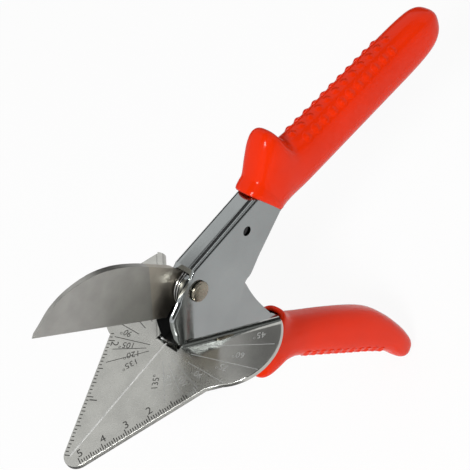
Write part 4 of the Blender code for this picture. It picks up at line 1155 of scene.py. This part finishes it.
class MITRESHEARS_OT_spring(bpy.types.Operator):
    """Make the opening spring from one length of round wire"""

    bl_idname = "mitre_shears.spring"
    bl_label = "Opening spring"

    def execute(self, context):
        settings = context.scene.mitre_fixing_settings
        points, near, far = spring_line(36)
        data = bpy.data.curves.new("spring_wire", "CURVE")
        data.dimensions = "3D"
        data.bevel_depth = mm(settings.wire_radius)
        data.bevel_resolution = 4
        data.use_fill_caps = True
        spline = data.splines.new("POLY")
        spline.points.add(len(points) - 1)
        for spline_point, spot in zip(spline.points, points):
            spline_point.co = (*spot, 1.0)
        materials = (spring_wire(settings),)
        item = make_object("opening_spring_finished", curve_shape(data), materials, FIXED_PLACE)
        item.data.shade_smooth()
        item.data.set_sharp_from_angle(angle=math.radians(50.0))
        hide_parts("opening_spring")
        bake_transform(item)
        return {"FINISHED"}


# Grips


def grip_section(count):
    """Points around a section between a circle and a rounded box, as unit shares."""
    points = []
    for across, up in arc((0.0, 0.0), 1.0, 0.0, math.tau, count)[:-1]:
        points.append([math.copysign(abs(share) ** (2.0 / SECTION_POWER), share) for share in (across, up)])
    return points


class Grip:
    """The moulded form of a grip, from its stations, its place and the side it swells to."""

    def __init__(self, shares, guard_reach, axis, outward):
        self.stations = smooth_line(shares, 5)
        self.guard_reach = guard_reach
        self.axis = axis
        self.outward = outward

    def spot(self, station, across, up, shrink=0.0, deeper=0.0):
        """A place on the skin at a station, or so far inside it and so far deeper."""
        inner, outer, low, high, width = station
        spread = (high - low) / 2 * GRIP_HALF_HEIGHT - shrink
        lean = (up + 1.0) / 2.0
        reach = self.guard_reach + GRIP_LENGTH * (inner + (outer - inner) * lean) + deeper
        rise = self.axis + self.outward * ((high + low) / 2 * GRIP_HALF_HEIGHT + spread * up)
        return GRIP_TURN @ Vector((reach, (GRIP_HALF_WIDTH * width - shrink) * across, rise))

    def outer_spot(self, reach_share, y):
        """A place on the outer skin at a share of the length and a distance from the middle."""
        for before, after in zip(self.stations, self.stations[1:]):
            if before[1] <= reach_share <= after[1]:
                t = (reach_share - before[1]) / (after[1] - before[1])
                station = [a + (b - a) * t for a, b in zip(before, after)]
                across = y / (GRIP_HALF_WIDTH * station[4])
                up = (1.0 - abs(across) ** SECTION_POWER) ** (1.0 / SECTION_POWER)
                return self.spot(station, across, up)
        raise ValueError("no station at this share")

    def shape(self, count, wall):
        """The whole grip: a rounded mouth with a recess, the body and a closed end."""
        section = grip_section(count)
        first, last = self.stations[0], self.stations[-1]
        form = bmesh.new()
        mouth = ((1.0, 7.0), (1.0, 0.5), (0.8, 0.1), (0.5, -0.1), (0.2, 0.0))
        rows = [(first, wall * share, deeper) for share, deeper in mouth]
        rows += [(station, 0.0, 0.0) for station in self.stations]
        rings = []
        for station, shrink, deeper in rows:
            spots = [self.spot(station, across, up, shrink, deeper) for across, up in section]
            rings.append([form.verts.new(spot) for spot in spots])
        join_rings(form, rings)
        form.faces.new(rings[0])
        end = form.verts.new(self.spot(last, 0.0, 0.0, 0.0, 0.5))
        for index in range(count):
            form.faces.new((rings[-1][index], rings[-1][(index + 1) % count], end))
        bmesh.ops.recalc_face_normals(form, faces=form.faces)
        return form

    def dome(self, reach_share, y, radius, height):
        """A raised dome that sits on the outer skin."""
        middle = self.outer_spot(reach_share, y)
        step, side = 0.004, 0.2
        along = self.outer_spot(reach_share + step, y) - self.outer_spot(reach_share - step, y)
        across = self.outer_spot(reach_share, y + side) - self.outer_spot(reach_share, y - side)
        normal = along.cross(across).normalized()
        if normal.z * self.outward < 0.0:
            normal = -normal
        profile = []
        for share in (index / 9 for index in range(10)):
            bell = (math.cos(share * math.pi) + 1.0) / 2.0
            profile.append((radius * share, height * bell - 0.06 * share))
        profile.append((radius, -0.5))
        form = lathe(profile, 28, normal)
        form.transform(Matrix.Translation(middle))
        return form


class MITRESHEARS_OT_grips(bpy.types.Operator):
    """Make the two moulded grips with their guards, mouths and rows of domes"""

    bl_idname = "mitre_shears.grips"
    bl_label = "Grips"

    def execute(self, context):
        settings = context.scene.mitre_grip_settings
        vinyl = moulded_vinyl(settings)
        dome = mm(settings.dome_radius), mm(settings.dome_height)
        pitch = mm(settings.dome_pitch) / GRIP_LENGTH
        for name, shares, line, body, place in (
            ("upper_grip", UPPER_GRIP_SHARES, (UPPER_GUARD, UPPER_AXIS, 1.0), FIXED_BODY, FIXED_PLACE),
            ("lower_grip", LOWER_GRIP_SHARES, (LOWER_GUARD, LOWER_AXIS, -1.0), MOVING_BODY, MOVING_PLACE),
        ):
            grip = Grip(shares, *line)
            shapes = [grip.shape(72, mm(settings.wall))]
            for y, first, count in DOME_ROWS:
                for index in range(count):
                    shapes.append(grip.dome(DOMES_START + (first + index) * pitch, y, *dome))
            item = make_object(f"{name}_finished", join_shapes(shapes), (vinyl,), place)
            finish(item, body, (name,), 50.0)
        return {"FINISHED"}


# Stage

WHITE = (1.0, 1.0, 1.0, 1.0)
DARK_LEVEL = 0.09
MIRRORED_CAMERA = Matrix.Diagonal((1.0, 1.0, -1.0)) @ CAMERA_TURN @ Matrix.Diagonal((1.0, -1.0, 1.0))

# Each card: name, spot, what it faces, width, height, and its level or the two levels and ends of a fade
CARDS = (
    # Dim board far behind the handles
    ("rear_card", (520.0, 670.0, 60.0), (60.0, 0.0, 60.0), 1600.0, 440.0, (0.05,)),
    # Two soft boxes over the near side, seen in the near ear by way of the cheek, and a glint beside them
    ("upper_card", (345.0, -615.0, 745.0), (45.0, -5.0, 15.0), 900.0, 240.0, (1.0,)),
    ("lower_card", (450.0, -694.0, 428.0), (45.0, -10.0, 5.0), 500.0, 180.0, (0.8,)),
    ("bright_strip", (240.0, -512.3, 663.7), (33.7, -5.4, 13.3), 60.0, 22.0, (12.0,)),
    # Dark patch on the floor before the nose
    ("floor_card", (-220.0, 45.0, FLOOR_TOP + 4.0), (-220.0, 45.0, 500.0), 400.0, 300.0, (0.15,)),
    # A fading card and a glint behind the shears, that the polished ears mirror straight to the camera
    ("fading_card", (165.3, 228.3, 372.6), None, 180.0, 84.0, (0.6, 0.22, -35.5, -5.0)),
    ("glint_card", (142.3, 260.7, 355.3), None, 24.0, 8.0, (4.0,)),
)


def lamp(name, power, size, spot, target):
    data = bpy.data.lights.new(name, "AREA")
    data.energy = power
    data.shape = "SQUARE"
    data.size = size
    item = bpy.data.objects.new(name, data)
    item.location = spot
    item.rotation_euler = (Vector(target) - Vector(spot)).to_track_quat("-Z", "Y").to_euler()
    bpy.context.scene.collection.objects.link(item)


def glossy_only(item):
    """Let only mirror reflections see a stage piece."""
    item.visible_camera = False
    item.visible_diffuse = False
    item.visible_shadow = False
    item.visible_transmission = False


def glow_material(name, left, right=None, start=0.0, end=1.0):
    """An even glow, or one that changes along the piece's own X between two places in millimetres."""
    material, tree, _ = new_material(name)
    place = node(tree, "ShaderNodeTexCoord").outputs["Object"]
    along = node(tree, "ShaderNodeSeparateXYZ", {"Vector": place}).outputs["X"]
    inputs = {"Value": along, "From Min": start / 1000, "From Max": end / 1000}
    inputs.update({"To Min": left, "To Max": left if right is None else right})
    level = node(tree, "ShaderNodeMapRange", inputs, interpolation_type="SMOOTHSTEP")
    glow = node(tree, "ShaderNodeEmission", {"Strength": level.outputs[0]})
    tree.links.new(glow.outputs[0], tree.nodes["Material Output"].inputs["Surface"])
    return material


def card(name, spot, target, width, height, levels):
    """A flat card that only mirrors see. With no target it stands as the camera mirrored in the plate."""
    turn = MIRRORED_CAMERA
    if target:
        turn = (Vector(target) - Vector(spot)).to_track_quat("Z", "Y").to_matrix()
    shape = box_shape((-width / 2, -height / 2, -1.0), (width / 2, height / 2, 1.0))
    item = make_object(name, shape, (glow_material(name, *levels),))
    item.matrix_world = Matrix.Translation(Vector(spot) / 1000.0) @ turn.to_4x4()
    glossy_only(item)


def dark_side():
    """The unlit half of the studio: a wide arch over the near side, behind the lamp."""
    start, end = math.radians(72.0), math.radians(187.0)
    outline = arc((0.0, 0.0), 1400.0, start, end, 32) + arc((0.0, 0.0), 1405.0, end, start, 32)
    shape = slab(outline, -1100.0, 1500.0)
    shape.transform(ALONG_X)
    glossy_only(make_object("dark_side", shape, (glow_material("unlit_studio", DARK_LEVEL),)))


class MITRESHEARS_OT_stage(bpy.types.Operator):
    """Make the floor, the soft light and the camera"""

    bl_idname = "mitre_shears.stage"
    bl_label = "Stage"

    def execute(self, context):
        settings = context.scene.mitre_stage_settings
        scene = context.scene
        shape = box_shape((-3000.0, -3000.0, FLOOR_TOP - 5), (3000.0, 3000.0, FLOOR_TOP))
        # Matte paint, lifted towards white where the camera sees it
        material, tree, shader = new_material("matte_painted_floor")
        shader.inputs["Base Color"].default_value = (*settings.floor_colour, 1.0)
        shader.inputs["Roughness"].default_value = 0.8
        shader.inputs["Specular IOR Level"].default_value = 0.1
        path = node(tree, "ShaderNodeLightPath")
        bright = node(tree, "ShaderNodeEmission", {"Color": WHITE, "Strength": 1.0})
        share = node(tree, "ShaderNodeMath", {0: path.outputs["Is Camera Ray"], 1: 0.9}, operation="MULTIPLY")
        parts = {0: share.outputs[0], 1: shader.outputs[0], 2: bright.outputs[0]}
        mixed = node(tree, "ShaderNodeMixShader", parts)
        tree.links.new(mixed.outputs[0], tree.nodes["Material Output"].inputs["Surface"])
        floor = make_object("floor", shape, (material,))

        dark_side()
        for row in CARDS:
            card(*row)

        # White where the camera, a mirror or clear matter sees it, and dimmer as a light on the pieces
        world = bpy.data.worlds.new("studio")
        scene.world = world
        world.use_nodes = True
        tree = world.node_tree
        back = tree.nodes["Background"]
        path = node(tree, "ShaderNodeLightPath")
        seen = path.outputs["Is Camera Ray"]
        for name in ("Is Glossy Ray", "Is Transmission Ray"):
            either = node(tree, "ShaderNodeMath", {0: seen, 1: path.outputs[name]}, operation="MAXIMUM")
            seen = either.outputs[0]
        level = node(tree, "ShaderNodeMapRange", {"Value": seen, "To Min": settings.sky_level, "To Max": 1.0})
        tree.links.new(level.outputs[0], back.inputs["Strength"])
        back.inputs["Color"].default_value = WHITE

        lamp("soft_lamp", settings.lamp_power, 0.2, (-0.55, -0.55, 0.85), (0.09, 0.0, 0.0))

        data = bpy.data.cameras.new("photo_camera")
        data.lens = CAMERA_LENS
        data.sensor_width = 36.0
        data.clip_start = 0.01
        data.clip_end = 20.0
        camera = bpy.data.objects.new("photo_camera", data)
        camera.matrix_world = Matrix.Translation(CAMERA_SPOT) @ CAMERA_TURN.to_4x4()
        scene.collection.objects.link(camera)
        scene.camera = camera
        scene.view_settings.view_transform = "Standard"
        return {"FINISHED"}


class MITRESHEARS_PT_panel(bpy.types.Panel):
    """Settings and builders of the mitre shears"""

    bl_idname = "MITRESHEARS_PT_panel"
    bl_label = "Mitre shears"
    bl_space_type = "VIEW_3D"
    bl_region_type = "UI"
    bl_category = "Mitre shears"

    def draw(self, context):
        for name, _, operators in SETTINGS:
            settings = getattr(context.scene, name)
            box = self.layout.box()
            box.label(text=settings.bl_rna.description)
            for key in settings.bl_rna.properties.keys():
                if key not in {"rna_type", "name"}:
                    box.prop(settings, key)
            for operator in operators:
                box.operator(operator)


# Where each group of settings is kept, the group, and the operators that use it
SETTINGS = (
    ("mitre_plate_settings", PlateSettings, ("mitre_shears.plate",)),
    ("mitre_lever_settings", LeverSettings, ("mitre_shears.upper_lever", "mitre_shears.lower_lever")),
    ("mitre_blade_settings", BladeSettings, ("mitre_shears.blade",)),
    ("mitre_fixing_settings", FixingSettings, ("mitre_shears.fixings", "mitre_shears.spring")),
    ("mitre_grip_settings", GripSettings, ("mitre_shears.grips",)),
    ("mitre_stage_settings", StageSettings, ("mitre_shears.stage",)),
)
CLASSES = (
    MITRESHEARS_OT_plate,
    MITRESHEARS_OT_upper_lever,
    MITRESHEARS_OT_lower_lever,
    MITRESHEARS_OT_blade,
    MITRESHEARS_OT_fixings,
    MITRESHEARS_OT_spring,
    MITRESHEARS_OT_grips,
    MITRESHEARS_OT_stage,
    MITRESHEARS_PT_panel,
)


def register():
    for name, group, _ in SETTINGS:
        bpy.utils.register_class(group)
        setattr(bpy.types.Scene, name, bpy.props.PointerProperty(type=group))
    for item in CLASSES:
        bpy.utils.register_class(item)


def unregister():
    for item in reversed(CLASSES):
        bpy.utils.unregister_class(item)
    for name, group, _ in reversed(SETTINGS):
        delattr(bpy.types.Scene, name)
        bpy.utils.unregister_class(group)


def main():
    register()
    bpy.ops.mitre_shears.plate()
    bpy.ops.mitre_shears.upper_lever()
    bpy.ops.mitre_shears.lower_lever()
    bpy.ops.mitre_shears.blade()
    bpy.ops.mitre_shears.fixings()
    bpy.ops.mitre_shears.spring()
    bpy.ops.mitre_shears.grips()
    bpy.ops.mitre_shears.stage()


if __name__ == "__main__":
    main()
